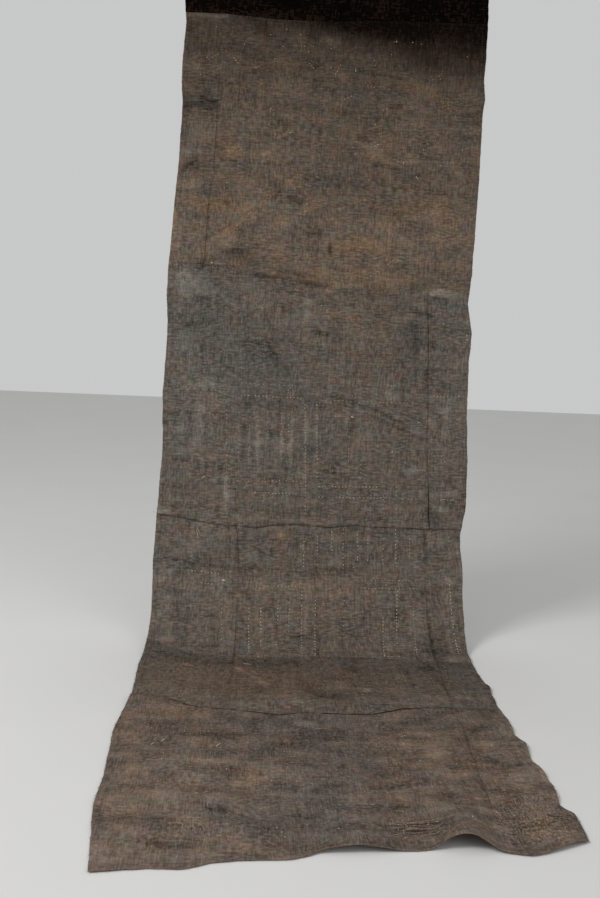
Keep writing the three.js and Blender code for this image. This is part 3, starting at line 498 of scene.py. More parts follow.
# Lighter and darker places of the cloth, and the painted shade beside its wrinkles.
TONES = rows(
    "across along wide long turn lift",
    # The dark band: rubbed places
    (-128, 104, 56, 22, 0, 2.4), (-40, 96, 40, 18, 0, 1.0), (300, 92, 60, 24, 0, 1.0),
    (125, 105, 56, 40, 0, -0.7),
    # Small unevenness of the hanging panels, then of the cloth on the floor
    (-250, 985, 80, 130, 0, 0.08), (300, 1090, 44, 140, 0, 0.08), (-262, 2150, 90, 280, 0, 0.08),
    (-30, 2335, 90, 40, 0, -0.04), (-110, 2180, 80, 60, 0, 0.05), (-267, 220, 29, 29, 0, -0.14),
    (178, 193, 45, 30, 0, -0.16), (230, 197, 30, 30, 0, -0.2), (-302, 314, 29, 29, 0, 0.14),
    (-308, 429, 36, 29, 0, 0.12), (-155, 158, 37, 18, 0, -0.15), (-304, 677, 29, 29, 0, 0.14),
    (-336, 717, 51, 29, 0, -0.12), (-119, 714, 59, 18, 0, 0.14), (40, 375, 74, 52, 0, -0.08),
    (-57, 549, 37, 22, 0, -0.12), (47, 539, 45, 18, 0, -0.12), (266, 730, 150, 22, 0, -0.14),
    (260, 847, 38, 52, 0, 0.12), (-325, 809, 44, 29, 0, 0.12), (-276, 779, 44, 29, 0, 0.12),
    (-270, 921, 51, 51, 0, 0.1), (-226, 979, 51, 29, 0, 0.12), (-196, 1028, 29, 44, 0, 0.12),
    (-114, 1071, 29, 37, 0, 0.14), (-87, 1151, 37, 29, 0, -0.12), (-87, 908, 22, 52, 0, -0.12),
    (216, 1163, 37, 37, 0, -0.1), (288, 1207, 30, 74, 0, -0.1), (-334, 1267, 44, 37, 0, -0.12),
    (-196, 1293, 73, 44, 0, 0.1), (-159, 1344, 73, 29, 0, -0.1), (-79, 1339, 52, 36, 0, 0.1),
    (13, 1331, 44, 65, 0, 0.1), (-24, 1268, 223, 18, 0, -0.1), (290, 1242, 30, 22, 0, 0.14),
    (200, 1427, 60, 36, 0, 0.1), (-315, 1561, 56, 115, 0, -0.1), (-119, 1504, 72, 80, 0, -0.06),
    (-256, 2184, 65, 47, 0, 0.16), (-150, 2156, 103, 33, 0, 0.1), (-107, 2220, 44, 50, 0, 0.18),
    (-186, 2292, 56, 55, 0, 0.12), (-283, 2389, 26, 40, 0, 0.16), (-272, 2119, 104, 29, 0, 0.08),
    (-182, 1980, 28, 93, 0, -0.15), (-236, 2030, 38, 51, 0, -0.08), (-150, 2052, 38, 50, 0, -0.08),
    (-200, 2082, 37, 60, 0, 0.1), (-43, 1970, 63, 68, 0, 0.1), (23, 2000, 34, 53, 0, 0.12),
    (-26, 2108, 37, 113, 0, -0.16), (13, 1846, 112, 55, 0, -0.14), (64, 2116, 37, 80, 0, -0.1),
    (-105, 2279, 71, 37, 0, -0.12), (-35, 2292, 33, 55, 0, 0.08), (0, 2261, 24, 29, 0, 0.12),
    (-65, 2350, 68, 34, 0, -0.08), (184, 1914, 61, 44, 0, 0.1), (213, 2046, 28, 145, 0, -0.14),
    (275, 1888, 81, 60, 0, -0.1), (284, 2111, 66, 47, 0, 0.12), (307, 2150, 65, 34, 0, -0.16),
    (219, 2172, 63, 54, 0, -0.12), (112, 2132, 37, 110, 0, 0.08), (152, 2166, 26, 44, 0, 0.12),
    (58, 2186, 41, 53, 0, -0.1), (248, 2198, 31, 31, 0, 0.12), (305, 2215, 41, 46, 0, 0.2),
    (311, 2286, 39, 47, 0, 0.1), (343, 2268, 25, 38, 0, -0.1), (236, 2321, 24, 53, 0, 0.1),
    (194, 2326, 33, 35, 0, -0.1), (157, 2344, 42, 30, 0, -0.14), (33, 2359, 36, 29, 0, 0.15),
    (-318, 2351, 31, 34, 0, -0.12), (-327, 2436, 42, 22, 0, -0.12),
    # First panel
    (-305, 307, 51, 29, 0, -0.45), (-274, 329, 37, 22, 0, -0.3), (-333, 341, 22, 37, 0, -0.35),
    (-333, 392, 18, 51, 0, -0.25), (-158, 158, 29, 29, 0, -0.4), (-120, 181, 37, 33, 0, -0.2),
    (-49, 159, 30, 22, 0, -0.5), (-328, 148, 29, 29, 0, -0.25), (-254, 158, 73, 29, 0, -0.12),
    (-299, 470, 44, 44, 0, -0.2), (-229, 501, 37, 29, 0, -0.2), (-341, 610, 36, 110, 0, 0.14),
    (-56, 572, 67, 129, 0, 0.12), (-8, 503, 33, 33, 0, 0.2), (-221, 289, 33, 29, 0, 0.18),
    (-99, 383, 111, 52, 0, 0.1), (211, 394, 75, 45, 0, 0.2), (293, 436, 53, 30, 0, 0.18),
    (169, 654, 52, 22, 0, 0.28), (87, 658, 22, 18, 0, 0.15), (223, 546, 37, 33, 0, -0.15),
    (82, 287, 33, 30, 0, -0.15), (218, 198, 37, 22, 0, -0.15), (43, 440, 74, 59, 0, -0.1),
    (-178, 671, 37, 29, 0, -0.12), (-102, 683, 33, 29, 0, -0.12), (-253, 635, 37, 37, 0, -0.1),
    # Painted shade and highlight beside the wrinkles at the seam of the first and second panels
    (-201, 667, 66, 15, 0, -0.3), (-119, 712, 66, 16, 0, -0.14), (-21, 730, 52, 16, 0, -0.14),
    (-160, 690, 60, 10, 8, -0.2), (-70, 703, 60, 12, 12, -0.12), (17, 647, 8, 26, 3, -0.7),
    (-24, 610, 32, 26, 0, -0.2), (-125, 719, 58, 10, 6, -0.15), (-12, 732, 38, 10, 6, -0.2),
    (-325, 724, 58, 37, 0, 0.35), (-344, 695, 36, 11, 0, 0.3), (-253, 686, 37, 11, 0, -0.2),
    (-223, 689, 59, 11, 0, 0.15), (-289, 697, 18, 15, 0, 0.3), (278, 737, 49, 11, 0, 0.35),
    (214, 826, 19, 82, 0, -0.15), (241, 801, 11, 126, 0, 0.1),
    # Second panel
    (126, 744, 45, 30, 0, -0.22), (182, 776, 37, 52, 0, -0.24), (228, 872, 22, 89, 0, -0.26),
    (242, 976, 30, 45, 0, -0.15), (-293, 917, 73, 51, 0, 0.22), (-312, 998, 36, 95, 0, 0.12),
    (-289, 848, 29, 22, 0, -0.2), (-319, 753, 33, 29, 0, -0.12), (-204, 757, 33, 29, 0, -0.15),
    (-83, 885, 37, 59, 0, -0.12), (-130, 961, 81, 29, 0, -0.1), (63, 897, 33, 30, 0, -0.1),
    (291, 753, 53, 74, 0, 0.1), (326, 844, 60, 45, 0, 0.08), (117, 890, 30, 19, 0, 0.12),
    (-134, 791, 22, 52, 0, 0.12), (-246, 1088, 29, 29, 0, 0.25), (-320, 1083, 33, 33, 0, 0.18),
    (269, 1045, 53, 22, 0, 0.2), (174, 1018, 37, 37, 0, 0.12), (48, 1069, 22, 52, 0, 0.12),
    (92, 1109, 37, 44, 0, -0.2), (-29, 1056, 30, 30, 0, -0.15), (-96, 1112, 22, 37, 0, -0.15),
    (268, 1126, 38, 45, 0, -0.2), (275, 1184, 38, 30, 0, -0.12), (18, 1168, 30, 26, 0, -0.16),
    (-31, 1211, 59, 30, 0, -0.14), (158, 1177, 34, 33, 0, -0.14), (209, 1170, 34, 33, 0, -0.1),
    (-234, 1209, 29, 22, 0, -0.14), (-189, 1189, 22, 96, 0, 0.14), (-258, 1292, 44, 44, 0, 0.25),
    (-256, 1237, 44, 26, 0, 0.12), (288, 1265, 34, 22, 0, -0.45), (271, 1238, 26, 19, 0, 0.12),
    # Third panel
    (-119, 1311, 26, 29, 0, 0.15), (123, 1280, 30, 22, 0, 0.14), (-329, 1365, 44, 78, 0, 0.12),
    (-185, 1371, 44, 21, 0, 0.1), (-145, 1401, 66, 21, 0, -0.16), (-87, 1417, 22, 43, 0, -0.14),
    (200, 1391, 52, 29, 0, -0.12), (42, 1358, 22, 21, 0, -0.15), (282, 1357, 30, 36, 0, -0.1),
    (-210, 1519, 35, 48, 0, -0.15), (-68, 1491, 22, 30, 0, 0.22), (118, 1479, 44, 45, 0, 0.16),
    (25, 1550, 43, 45, 0, -0.2), (194, 1529, 51, 33, 0, -0.15), (286, 1575, 43, 95, 0, -0.35),
    (85, 1623, 28, 102, 0, -0.15), (-277, 1568, 42, 32, 0, -0.14), (-90, 1543, 28, 34, 0, -0.12),
    (-192, 1669, 40, 72, 0, -0.12), (-264, 1677, 73, 90, 0, 0.12), (-88, 1699, 66, 45, 0, -0.12),
    (148, 1782, 65, 83, 0, 0.08), (-11, 1822, 31, 64, 0, -0.25), (37, 1849, 43, 39, 0, -0.2),
    # Fourth panel
    (-20, 1955, 150, 45, 0, -0.1), (-178, 1894, 42, 59, 0, -0.18), (-337, 1930, 40, 84, 0, 0.14),
    (-141, 2023, 44, 51, 0, -0.12), (184, 1968, 29, 35, 0, -0.2), (285, 1888, 50, 75, 0, -0.12),
    (-357, 2135, 18, 45, 0, 0.25), (-232, 2168, 35, 64, 0, 0.22), (-203, 2083, 27, 24, 0, 0.15),
    (67, 2169, 21, 43, 0, -0.25), (71, 2089, 22, 30, 0, -0.14), (-107, 2226, 34, 25, 0, 0.2),
    (-194, 2266, 24, 43, 0, 0.25), (-222, 2314, 37, 36, 0, 0.3), (-32, 2283, 38, 46, 0, 0.2),
    (-150, 2251, 34, 39, 0, -0.12), (-289, 2382, 35, 24, 0, 0.4), (-244, 2365, 22, 21, 0, 0.2),
    (0, 2336, 32, 26, 0, -0.18), (-50, 2338, 27, 35, 0, -0.12), (166, 2232, 25, 35, 0, -0.15),
    (305, 2033, 69, 64, 0, 0.14), (270, 2100, 77, 30, 0, 0.12), (293, 2198, 42, 42, 0, 0.15),
    (333, 2218, 26, 41, 0, 0.25), (238, 2268, 30, 47, 0, 0.18), (305, 2292, 25, 37, 0, 0.18),
    (346, 2307, 24, 54, 0, 0.15), (309, 2349, 33, 30, 0, 0.18), (241, 2362, 32, 25, 0, 0.15),
    (80, 2234, 60, 25, 0, -0.12), (77, 2303, 33, 23, 0, -0.1),
)
# Small ochre smudges of bare or dyed strands.
OCHRE_SMUDGES = rows(
    "across along wide long turn lift",
    (-255, 1683, 26, 7, 25, 1.2), (-236, 1690, 14, 7, 10, 1.0), (-152, 1698, 26, 8, 35, 1.2),
    (-118, 1712, 22, 7, 35, 1.0), (-170, 1752, 70, 8, -14, 0.5), (-105, 1768, 60, 9, 12, 0.5),
    (40, 1690, 16, 8, 0, 0.8), (150, 1778, 40, 14, 4, 0.8), (-60, 1890, 22, 9, 6, 1.2),
    (-250, 1760, 60, 22, 10, 0.5), (-62, 1620, 24, 16, 0, 0.5), (-68, 1311, 12, 9, 0, 1.2),
    (-140, 549, 40, 12, -32, 0.7), (-200, 600, 50, 12, -40, 0.7), (-228, 270, 26, 10, -30, 0.8),
    (-160, 330, 24, 10, -48, 0.8), (-105, 392, 34, 9, -30, 0.8), (-136, 430, 40, 9, -36, 0.8),
    (-212, 422, 26, 9, -55, 0.8), (-80, 496, 24, 9, -48, 0.8), (-153, 1998, 22, 9, 0, 1.0),
    (-119, 810, 149, 10, 43, 0.45), (-198, 811, 127, 9, 42, 0.35), (90, 1110, 6, 50, 2, 1.1),
    (116, 1110, 6, 50, 2, 1.0), (50, 1032, 16, 8, 0, 1.3), (-232, 1141, 14, 8, 0, 1.1),
    (-60, 1988, 60, 10, -8, 0.6), (20, 1974, 40, 8, -12, 0.6), (60, 880, 22, 18, 0, 0.5),
    (84, 806, 26, 16, 0, 0.6), (10, 745, 40, 10, 10, 0.6), (120, 745, 60, 12, 4, 0.6),
)
# Where the weave is open and coarse, and where fine wrinkles get painted shade and highlight.
OPEN_WEAVE = rows(
    "across along wide long turn lift",
    (290, 2300, 120, 110, 0, 1.0), (110, 2328, 80, 40, 10, 0.5), (-200, 2350, 160, 80, 0, 0.4),
    (226, 405, 32, 60, 0, 0.6),
)
FINE_WRINKLES = rows(
    "across along wide long turn lift",
    (108, 2316, 66, 24, -6, 1.5), (210, 2120, 60, 26, 30, 0.5), (-30, 2250, 70, 22, -4, 0.4),
)


# Making the sewn pieces

GRID_ROUNDS = 7                # after so many rounds the grid lies on all four lines


def shares_between(length):
    """Where the lines of a mesh run over a length: close together at both ends."""
    fine = np.array(FINE_STEPS, float)
    middle = np.linspace(fine[-1], length - fine[-1], max(2, round((length - 2 * fine[-1]) / CELL)))
    return np.concatenate([fine[:-1], middle, (length - fine[:-1])[::-1]]) / length


def make_mesh(name, points, faces, flat_places, marks):
    """A mesh in metres with its own UV map, in metres of flat cloth, and its marks as attributes."""
    mesh = bpy.data.meshes.new(name)
    mesh.from_pydata((points * MM).tolist(), [], faces)
    corners = np.empty(len(mesh.loops), int)
    mesh.loops.foreach_get("vertex_index", corners)
    layer = mesh.uv_layers.new(name="cloth")
    layer.data.foreach_set("uv", (flat_places[corners] * MM).ravel())
    for mark, values in marks.items():
        attribute = mesh.attributes.new(mark, "FLOAT", "POINT")
        attribute.data.foreach_set("value", values.astype(np.float32))
    mesh.polygons.foreach_set("use_smooth", np.ones(len(mesh.polygons), bool))
    mesh.update()
    piece = bpy.data.objects.new(name, mesh)
    bpy.context.scene.collection.objects.link(piece)
    return piece


def cut_size(lines, reach):
    """Width and length of a piece with its laps, measured through its middle, and where that is."""
    middle_along = (lines["top"](0) + lines["bottom"](0)) / 2
    left, right = lines["left"](middle_along), lines["right"](middle_along)
    middle_across = (left + right) / 2
    width = right + reach["right"] - left + reach["left"]
    top, bottom = lines["top"](middle_across), lines["bottom"](middle_across)
    return width, bottom + reach["bottom"] - top + reach["top"], middle_across


def grid_between(lines, reach, width, length, middle_across):
    """A grid of places on the flat cloth that follows a piece's four lines."""
    column_share, row_share = np.meshgrid(shares_between(width), shares_between(length))
    across = np.full_like(column_share, float(middle_across))
    for _ in range(GRID_ROUNDS):
        first_row = lines["top"](across) - reach["top"]
        along = first_row + (lines["bottom"](across) + reach["bottom"] - first_row) * row_share
        first_column = lines["left"](along) - reach["left"]
        across = first_column + (lines["right"](along) + reach["right"] - first_column) * column_share
    return across, along


def closed_sheet(front, back):
    """Points and faces of a sheet with a rounded rim, and which grid points its rim follows."""
    height, count = front.shape[:2]
    total = height * count
    index = np.arange(total).reshape(height, count)
    ring = np.concatenate([index[0, :-1], index[:-1, -1], index[-1, :0:-1], index[:0:-1, 0]])
    inner_rows = np.clip(np.arange(height), 1, height - 2)
    inner_columns = np.clip(np.arange(count), 1, count - 2)
    inner = index[np.ix_(inner_rows, inner_columns)].ravel()[ring]
    front, back = front.reshape(-1, 3), back.reshape(-1, 3)
    outward = front[ring] - front[inner]
    outward /= np.linalg.norm(outward, axis=1, keepdims=True)
    rim = (front[ring] + back[ring]) / 2 + outward * RIM_BULGE
    corner = index[:-1, :-1].ravel()
    quads = np.stack([corner, corner + count, corner + count + 1, corner + 1], 1)
    following = np.roll(np.arange(len(ring)), -1)
    rim_at = 2 * total + np.arange(len(ring))
    faces = np.concatenate([
        quads,
        quads[:, ::-1] + total,
        np.stack([ring, ring[following], rim_at[following], rim_at], 1),
        np.stack([rim_at, rim_at[following], ring[following] + total, ring + total], 1),
    ])
    return np.concatenate([front, back, rim]), faces, ring


def cloth_marks(across, along):
    """Where the cloth is warm or pale, how light it is, where its creases and wrinkles get painted shade and
    highlight, where the near-black band and its painted shadow lie, and so on, at each place.
    """
    full, clear = (np.interp(across, BAND_SHADOW_REACH["across"], BAND_SHADOW_REACH[end]) for end in ("full", "clear"))
    return {
        "warmth": mounds(WARMTH, across, along),
        "crease_shading": creases(across, along) / 2.4,
        "lightness": lightness(across, along) * (1 + mounds(TONES, across, along)),
        "pale": mounds(PALE, across, along),
        "dark_band_and_shadow": np.clip((clear - along) / (clear - full), 0, 1),
        "open": mounds(OPEN_WEAVE, across, along),
        "wrinkle_shading": mounds(FINE_WRINKLES, across, along),
        "ochre": mounds(OCHRE_SMUDGES, across, along),
    }


def sewn_piece(name, lines, rims):
    """One piece of cloth between four lines. rims says for its top, bottom, left and right whether
    it lies over the next piece, goes under it, or has a hem of its own."""
    reach = {side: SEAM_LAP if rims[side] == "under" else 0 for side in rims}
    width, length, middle_across = cut_size(lines, reach)
    across, along = grid_between(lines, reach, width, length, middle_across)
    inset = {
        "top": along - lines["top"](across),
        "bottom": lines["bottom"](across) - along,
        "left": across - lines["left"](along),
        "right": lines["right"](along) - across,
    }
    level = np.zeros_like(across)
    hem_rise = np.zeros_like(across)
    thread_shadow = np.zeros_like(across)
    hem_distance = np.full_like(across, NO_HEM)
    for side, distance in inset.items():
        line = lines[side]
        place = across if side in ("top", "bottom") else along
        if rims[side] == "over":
            level += line.rise(place) * fade(distance, SEAM_LAP + 22, SEAM_LAP + 2)
        if rims[side] == "hem":
            hem_rise = np.maximum(hem_rise, HEM_RISE * fade(distance, HEM + 1.6, HEM))
            hem_distance = np.minimum(hem_distance, distance)
        else:
            near = fade(np.abs(distance), line.spread, 0.3) + 0.12 * fade(np.abs(distance), 9, 1)
            thread_shadow = np.maximum(thread_shadow, line.darkness(place) * near)
    point, _, _, facing = cloth_frame(across, along)
    front = point + facing * (level + THICK / 2 + hem_rise)[..., None]
    back = point + facing * (level - THICK / 2)[..., None]
    points, faces, ring = closed_sheet(front, back)

    def everywhere(values):
        """Values of the grid for the front, the back and the rim."""
        return np.concatenate([values, values, values[ring]])

    marks = {"seam": thread_shadow, "hem": hem_distance, **cloth_marks(across, along)}
    marks = {mark: everywhere(values.ravel()) for mark, values in marks.items()}
    flat_places = everywhere(np.stack([across.ravel(), -along.ravel()], 1))
    piece = make_mesh(name, points, faces.tolist(), flat_places, marks)
    return piece, (width, length)


# Shader maths

class Wire:
    """A node's output in a material's tree, so that shader maths reads as an expression."""

    def __init__(self, finish, socket):
        self.finish = finish
        self.socket = socket

    def maths(self, operation, *values):
        return self.finish.node("ShaderNodeMath", {"operation": operation}, dict(enumerate(values)))

    def __add__(self, other):
        return self.maths("ADD", self, other)

    __radd__ = __add__

    def __sub__(self, other):
        return self.maths("SUBTRACT", self, other)

    def __rsub__(self, other):
        return self.maths("SUBTRACT", other, self)

    def __mul__(self, other):
        return self.maths("MULTIPLY", self, other)

    __rmul__ = __mul__

    def __truediv__(self, other):
        return self.maths("DIVIDE", self, other)

    def floor(self):
        return self.maths("FLOOR", self)

    def fraction(self):
        return self.maths("FRACT", self)

    def size(self):
        return self.maths("ABSOLUTE", self)

    def largest(self, other):
        return self.maths("MAXIMUM", self, other)

    def modulo(self, other):
        return self.maths("FLOORED_MODULO", self, other)

    def ramp(self, low, high):
        """0 at low and 1 at high, smooth between them and flat beyond."""
        settings = {"interpolation_type": "SMOOTHSTEP"}
        sockets = {"Value": self, "From Min": low, "From Max": high}
        return self.finish.node("ShaderNodeMapRange", settings, sockets)


class Finish:
    """A material under construction."""

    def __init__(self, name):
        self.material = bpy.data.materials.new(name)
        self.material.use_nodes = True
        self.tree = self.material.node_tree
        self.shader = self.tree.nodes["Principled BSDF"]

    def node(self, kind, settings, sockets, output=0):
        made = self.tree.nodes.new(kind)
        for setting, value in settings.items():
            setattr(made, setting, value)
        for key, value in sockets.items():
            self.feed(made.inputs[key], value)
        return Wire(self, made.outputs[output])

    def feed(self, socket, value):
        if isinstance(value, Wire):
            self.tree.links.new(value.socket, socket)
        else:
            socket.default_value = value

    def set(self, **sockets):
        for key, value in sockets.items():
            self.feed(self.shader.inputs[key.replace("_", " ")], value)

    def mark(self, name):
        return self.node("ShaderNodeAttribute", {"attribute_name": name}, {}, output="Fac")

    def parts(self, vector, axes="XYZ"):
        """The parts of a vector, each as a number."""
        split = self.node("ShaderNodeSeparateXYZ", {}, {0: vector}).socket.node
        return [Wire(self, split.outputs[axis]) for axis in axes]

    def noise(self, x, y, z=0.0, detail=2.0):
        """Noise from 0 to 1 about 0.5, in cells of the given coordinates."""
        place = self.node("ShaderNodeCombineXYZ", {}, {"X": x, "Y": y, "Z": z})
        sockets = {"Vector": place, "Scale": 1.0, "Detail": detail}
        return self.node("ShaderNodeTexNoise", {"noise_dimensions": "3D"}, sockets, output="Fac")

    def blend(self, share, first, second, mode="MIX"):
        """Mixes two colours, or multiplies one by the other or adds it."""
        settings = {"data_type": "RGBA", "blend_type": mode}
        return self.node("ShaderNodeMix", settings, {0: share, 6: first, 7: second}, output=2)

    def grey(self, value):
        """A number as a colour, for mixing."""
        return self.node("ShaderNodeCombineColor", {}, {"Red": value, "Green": value, "Blue": value})


def colour(red, green, blue):
    """An sRGB colour of 0 to 255 as linear light."""
    linear = [((c / 255 + 0.055) / 1.055) ** 2.4 if c > 10 else c / 255 / 12.92 for c in (red, green, blue)]
    return (*linear, 1.0)


STRAND = 1.5                   # width of one raffia strand in the plain weave
PINKISH = (1.04, 0.963, 1.018, 1.0)
GREENISH = (0.96, 1.037, 0.972, 1.0)
OCHRE = colour(158, 122, 98)
NEAR_BLACK = colour(5, 3, 2)
DARK_BROWN = colour(28, 18, 13)
GOLDEN_FLECK = colour(168, 134, 104)
CREAM_FLECK = colour(178, 166, 146)

# Noise patterns of the cloth: the size of their cells across and along it, the step from the cloth's
# seed, the detail, and the ways in which the cloth's own grain stretches them.
PATTERNS = {
    "drift": (60, 60, 0, 1, ""),
    "lead": (90, 70, 10, 1, ""),
    "weft streak": (13, 4.4, 3, 0, "across along"),
    "warp streak": (4.3, 16, 4, 0, "across along"),
    "grain": (4.0, 3.7, 5, 1, "across along"),
    "upright": (12, 190, 12, 2, ""),
    "level": (190, 12, 13, 2, "along"),
    "mottle": (21, 15, 11, 2, "along"),
    "cloud": (75, 52, 6, 3, ""),
    "ragged": (42, 30, 7, 2, ""),
    "hue": (25, 20, 14, 2, ""),
    "net": (2.5, 5.0, 18, 0, ""),
    "drip": (6, 46, 15, 2, ""),
    "fleck": (3.6, 2.8, 8, 1, "along"),
    "dark weft": (34, 2.6, 9, 1, ""),
    "dark warp": (2.4, 40, 16, 1, ""),
    "pale weft": (26, 2.4, 17, 1, ""),
}


class Raffia(Finish):
    """A woven cloth's material under construction, with its noise patterns and its colour so far."""

    def __init__(self, name, ground, stretch, seed):
        super().__init__(name)
        self.body = ground
        self.stretch = dict(zip(("across", "along"), stretch))
        self.seed = seed
        flat = self.node("ShaderNodeUVMap", {"uv_map": "cloth"}, {})
        across, up = self.parts(flat, "XY")
        self.across = across * (1 / MM)
        self.along = up * (-1 / MM)

    def pattern(self, name):
        """A noise pattern from -0.5 to 0.5."""
        wide, long, step, detail, stretched = PATTERNS[name]
        wide *= self.stretch["across"] if "across" in stretched else 1
        long *= self.stretch["along"] if "along" in stretched else 1
        return self.noise(self.across / wide, self.along / long, self.seed + step, detail=detail) - 0.5

    def lay(self, share, tint, mode="MIX"):
        """Lays a share of a tint over the colour so far."""
        self.body = self.blend(share, self.body, tint, mode=mode)

    def strands(self):
        """The strands' own tones, the gaps between them and the ribs that they make."""
        drift = self.pattern("drift")
        strand_across = (self.across + drift * 5) / STRAND
        strand_along = (self.along + drift * 7) / STRAND
        warp, weft = strand_across.floor(), strand_along.floor()
        warp_tone = self.noise(warp * 7.31, self.along / 30, self.seed + 1, detail=1.0) - 0.5
        weft_tone = self.noise(self.across / 30, weft * 5.17, self.seed + 2, detail=1.0) - 0.5
        on_top = (warp + weft).modulo(2.0)
        tone = warp_tone * on_top + weft_tone * (1 - on_top)
        gap_across = (strand_across.fraction() - 0.5).size().ramp(0.30, 0.5)
        gap_along = (strand_along.fraction() - 0.5).size().ramp(0.30, 0.5)
        ribs = (1 - gap_across * gap_across) * on_top + (1 - gap_along * gap_along) * (1 - on_top)
        return tone, gap_across.largest(gap_along), ribs


def raffia(name, ground, rust, pale, dark, warm_share, contrast, patchy, stretch, seed):
    """Plain-woven raffia: each strand has its own tone, in streaks, stains and dark seams, with painted shade
    and highlight in its creases and wrinkles and painted shade in the gaps between strands.
    """
    finish = Raffia(name, ground, stretch, seed)
    pattern, mark, lay = finish.pattern, finish.mark, finish.lay
    strand_tone, gaps, ribs = finish.strands()

    # Bundles of strands and grain, which show from further off. In places one way leads.
    lead = pattern("lead").ramp(-0.14, 0.14)
    weft_streak, warp_streak = pattern("weft streak"), pattern("warp streak")
    grain, mottle, cloud = pattern("grain"), pattern("mottle"), pattern("cloud")
    open_here = (mark("open") + mottle * 1.5).ramp(0.15, 0.8)
    fine = strand_tone * 0.7 + weft_streak * (0.85 + lead * 0.6) + warp_streak * (1.2 - lead * 0.5)
    fine = ((fine + grain) * contrast * (1 + open_here * 0.4)).largest(-0.32)
    broad = mottle * 0.45 + pattern("upright") * 0.55 + pattern("level") * 0.45
    broad = broad * contrast + cloud * patchy

    # Warm and faded patches have ragged edges, and the hue wanders a little.
    ragged = pattern("ragged")
    warm_here = (mark("warmth") * 0.55 + ragged * 1.9 + warm_share).ramp(-0.35, 1.35)
    pale_here = (mark("pale") + cloud * 1.2 + mottle * 0.6 - 0.1).ramp(0.0, 1.0)
    lay(warm_here, rust)
    lay(pale_here * 0.5, pale)
    hue = pattern("hue").ramp(-0.2, 0.2)
    lay(1.0, finish.blend(hue, PINKISH, GREENISH), mode="MULTIPLY")
    lay((mark("ochre") * (1 + ragged * 0.8)).ramp(0.1, 1.2) * 0.45, OCHRE)

    # Ridges of creases get a painted highlight, and troughs painted shade. Open weave is speckled.
    crease_shading = mark("crease_shading") * (grain * 0.8 + 0.9)
    light = (broad + fine * 0.3 + crease_shading * 0.36 + 1.0).largest(0.3) * mark("lightness")
    lay(1.0, finish.grey(light), mode="MULTIPLY")
    speckle = fine * 0.055 + pattern("net").largest(-0.2) * open_here * 0.25
    lay(1.0, finish.grey(speckle * mark("lightness")), mode="ADD")
    lay(crease_shading.ramp(0.15, 1.2) * 0.25, pale)

    # The near-black top band and the painted shadow below it, which run down in drips and let a plaid of
    # brown strands show.
    dark_band_and_shadow, drip = mark("dark_band_and_shadow"), pattern("drip")
    band_shadow_here = (dark_band_and_shadow + drip * 0.8 + ragged * 0.5 + weft_streak * 0.6).ramp(-0.12, 0.95)
    plaid = warp_streak * 0.9 + weft_streak * 0.9 + drip * 0.5 + cloud * 0.8
    band_shadow_colour = finish.blend((plaid - dark_band_and_shadow * 0.5).ramp(-0.5, -0.15), NEAR_BLACK, DARK_BROWN)
    lay(band_shadow_here * dark_band_and_shadow.ramp(0.0, 0.18) * 0.985, band_shadow_colour)

    # Bare strands: small golden and cream flecks, and dark and pale strands of the weave.
    fleck = pattern("fleck").ramp(0.18, 0.26) * (0.3 + warm_here * 0.5)
    fleck_colour = finish.blend(ragged.ramp(-0.1, 0.1), GOLDEN_FLECK, CREAM_FLECK)
    lay(fleck * 0.6 * (1 - dark_band_and_shadow), fleck_colour)
    dark_strand = pattern("dark weft").ramp(0.10, 0.24).largest(pattern("dark warp").ramp(0.12, 0.26))
    lay(dark_strand * 0.34, dark)
    lay(pattern("pale weft").ramp(0.12, 0.26) * 0.3 * (1 - dark_band_and_shadow), pale)

    # Painted shade and highlight of fine wrinkles, which lie slightly aslant.
    aslant = (finish.along + finish.across * 0.11) / 2.7
    lying = finish.noise(finish.across / 30, aslant, seed + 19, detail=0.0)
    wrinkle_shading = mark("wrinkle_shading").ramp(0.15, 0.9)
    lay(lying.ramp(0.50, 0.60) * wrinkle_shading * 0.75, dark)
    lay(lying.ramp(0.48, 0.36) * wrinkle_shading * 0.5, pale)

    # Painted shade in the gaps between strands: deep in open weave, and faint in the rest.
    lay(gaps * (0.2 + open_here * 0.5), dark)

    # Shadow of the seams' threads, the hem's sewn line and its rubbed rim.
    seam, hem = mark("seam") * (grain * 1.5 + 0.9), mark("hem")
    lay(seam.ramp(0.0, 1.0), dark)
    lay((hem - HEM).size().ramp(1.8, 0.3) * (0.15 + grain * 0.8), dark)
    lay(hem.ramp(2.6, 0.0) * (0.12 + grain * 1.5) * (1 - dark_band_and_shadow), pale)

    # The strands stand up as rounded ribs, and slubs thicken them.
    height = ribs * 0.4 + weft_streak * 0.8 + warp_streak * 0.5 + grain * 1.2 + mottle * 2.0 - seam * 0.6
    bump = {"Strength": 0.6, "Distance": 0.5 * MM, "Height": height}
    finish.set(
        Base_Color=finish.body,
        Roughness=0.8 + grain * 0.4,
        Specular_IOR_Level=0.01,
        Normal=finish.node("ShaderNodeBump", {}, bump),
    )
    return finish.material


FIBRE_SHADE = colour(74, 60, 46)


def thread(name, tint, other):
    """A raffia thread or splint, mottled in two tints and finely fibrous."""
    finish = Finish(name)
    place = finish.node("ShaderNodeTexCoord", {}, {}, output="Object")
    x, y, z = (part / MM for part in finish.parts(place))
    mottled = finish.noise(x / 6, y / 6 + z / 6, detail=3.0)
    fibre = finish.noise(x / 0.5, z / 0.5, y / 0.5, detail=2.0)
    body = finish.blend(mottled.ramp(0.35, 0.65), tint, other)
    body = finish.blend(fibre * 0.3, body, FIBRE_SHADE)
    relief = finish.node("ShaderNodeBump", {}, {"Strength": 0.4, "Distance": 0.1 * MM, "Height": fibre})
    finish.set(Base_Color=body, Roughness=0.65 + fibre * 0.2, Specular_IOR_Level=0.1, Normal=relief)
    return finish.material


# Small sewn and loose things

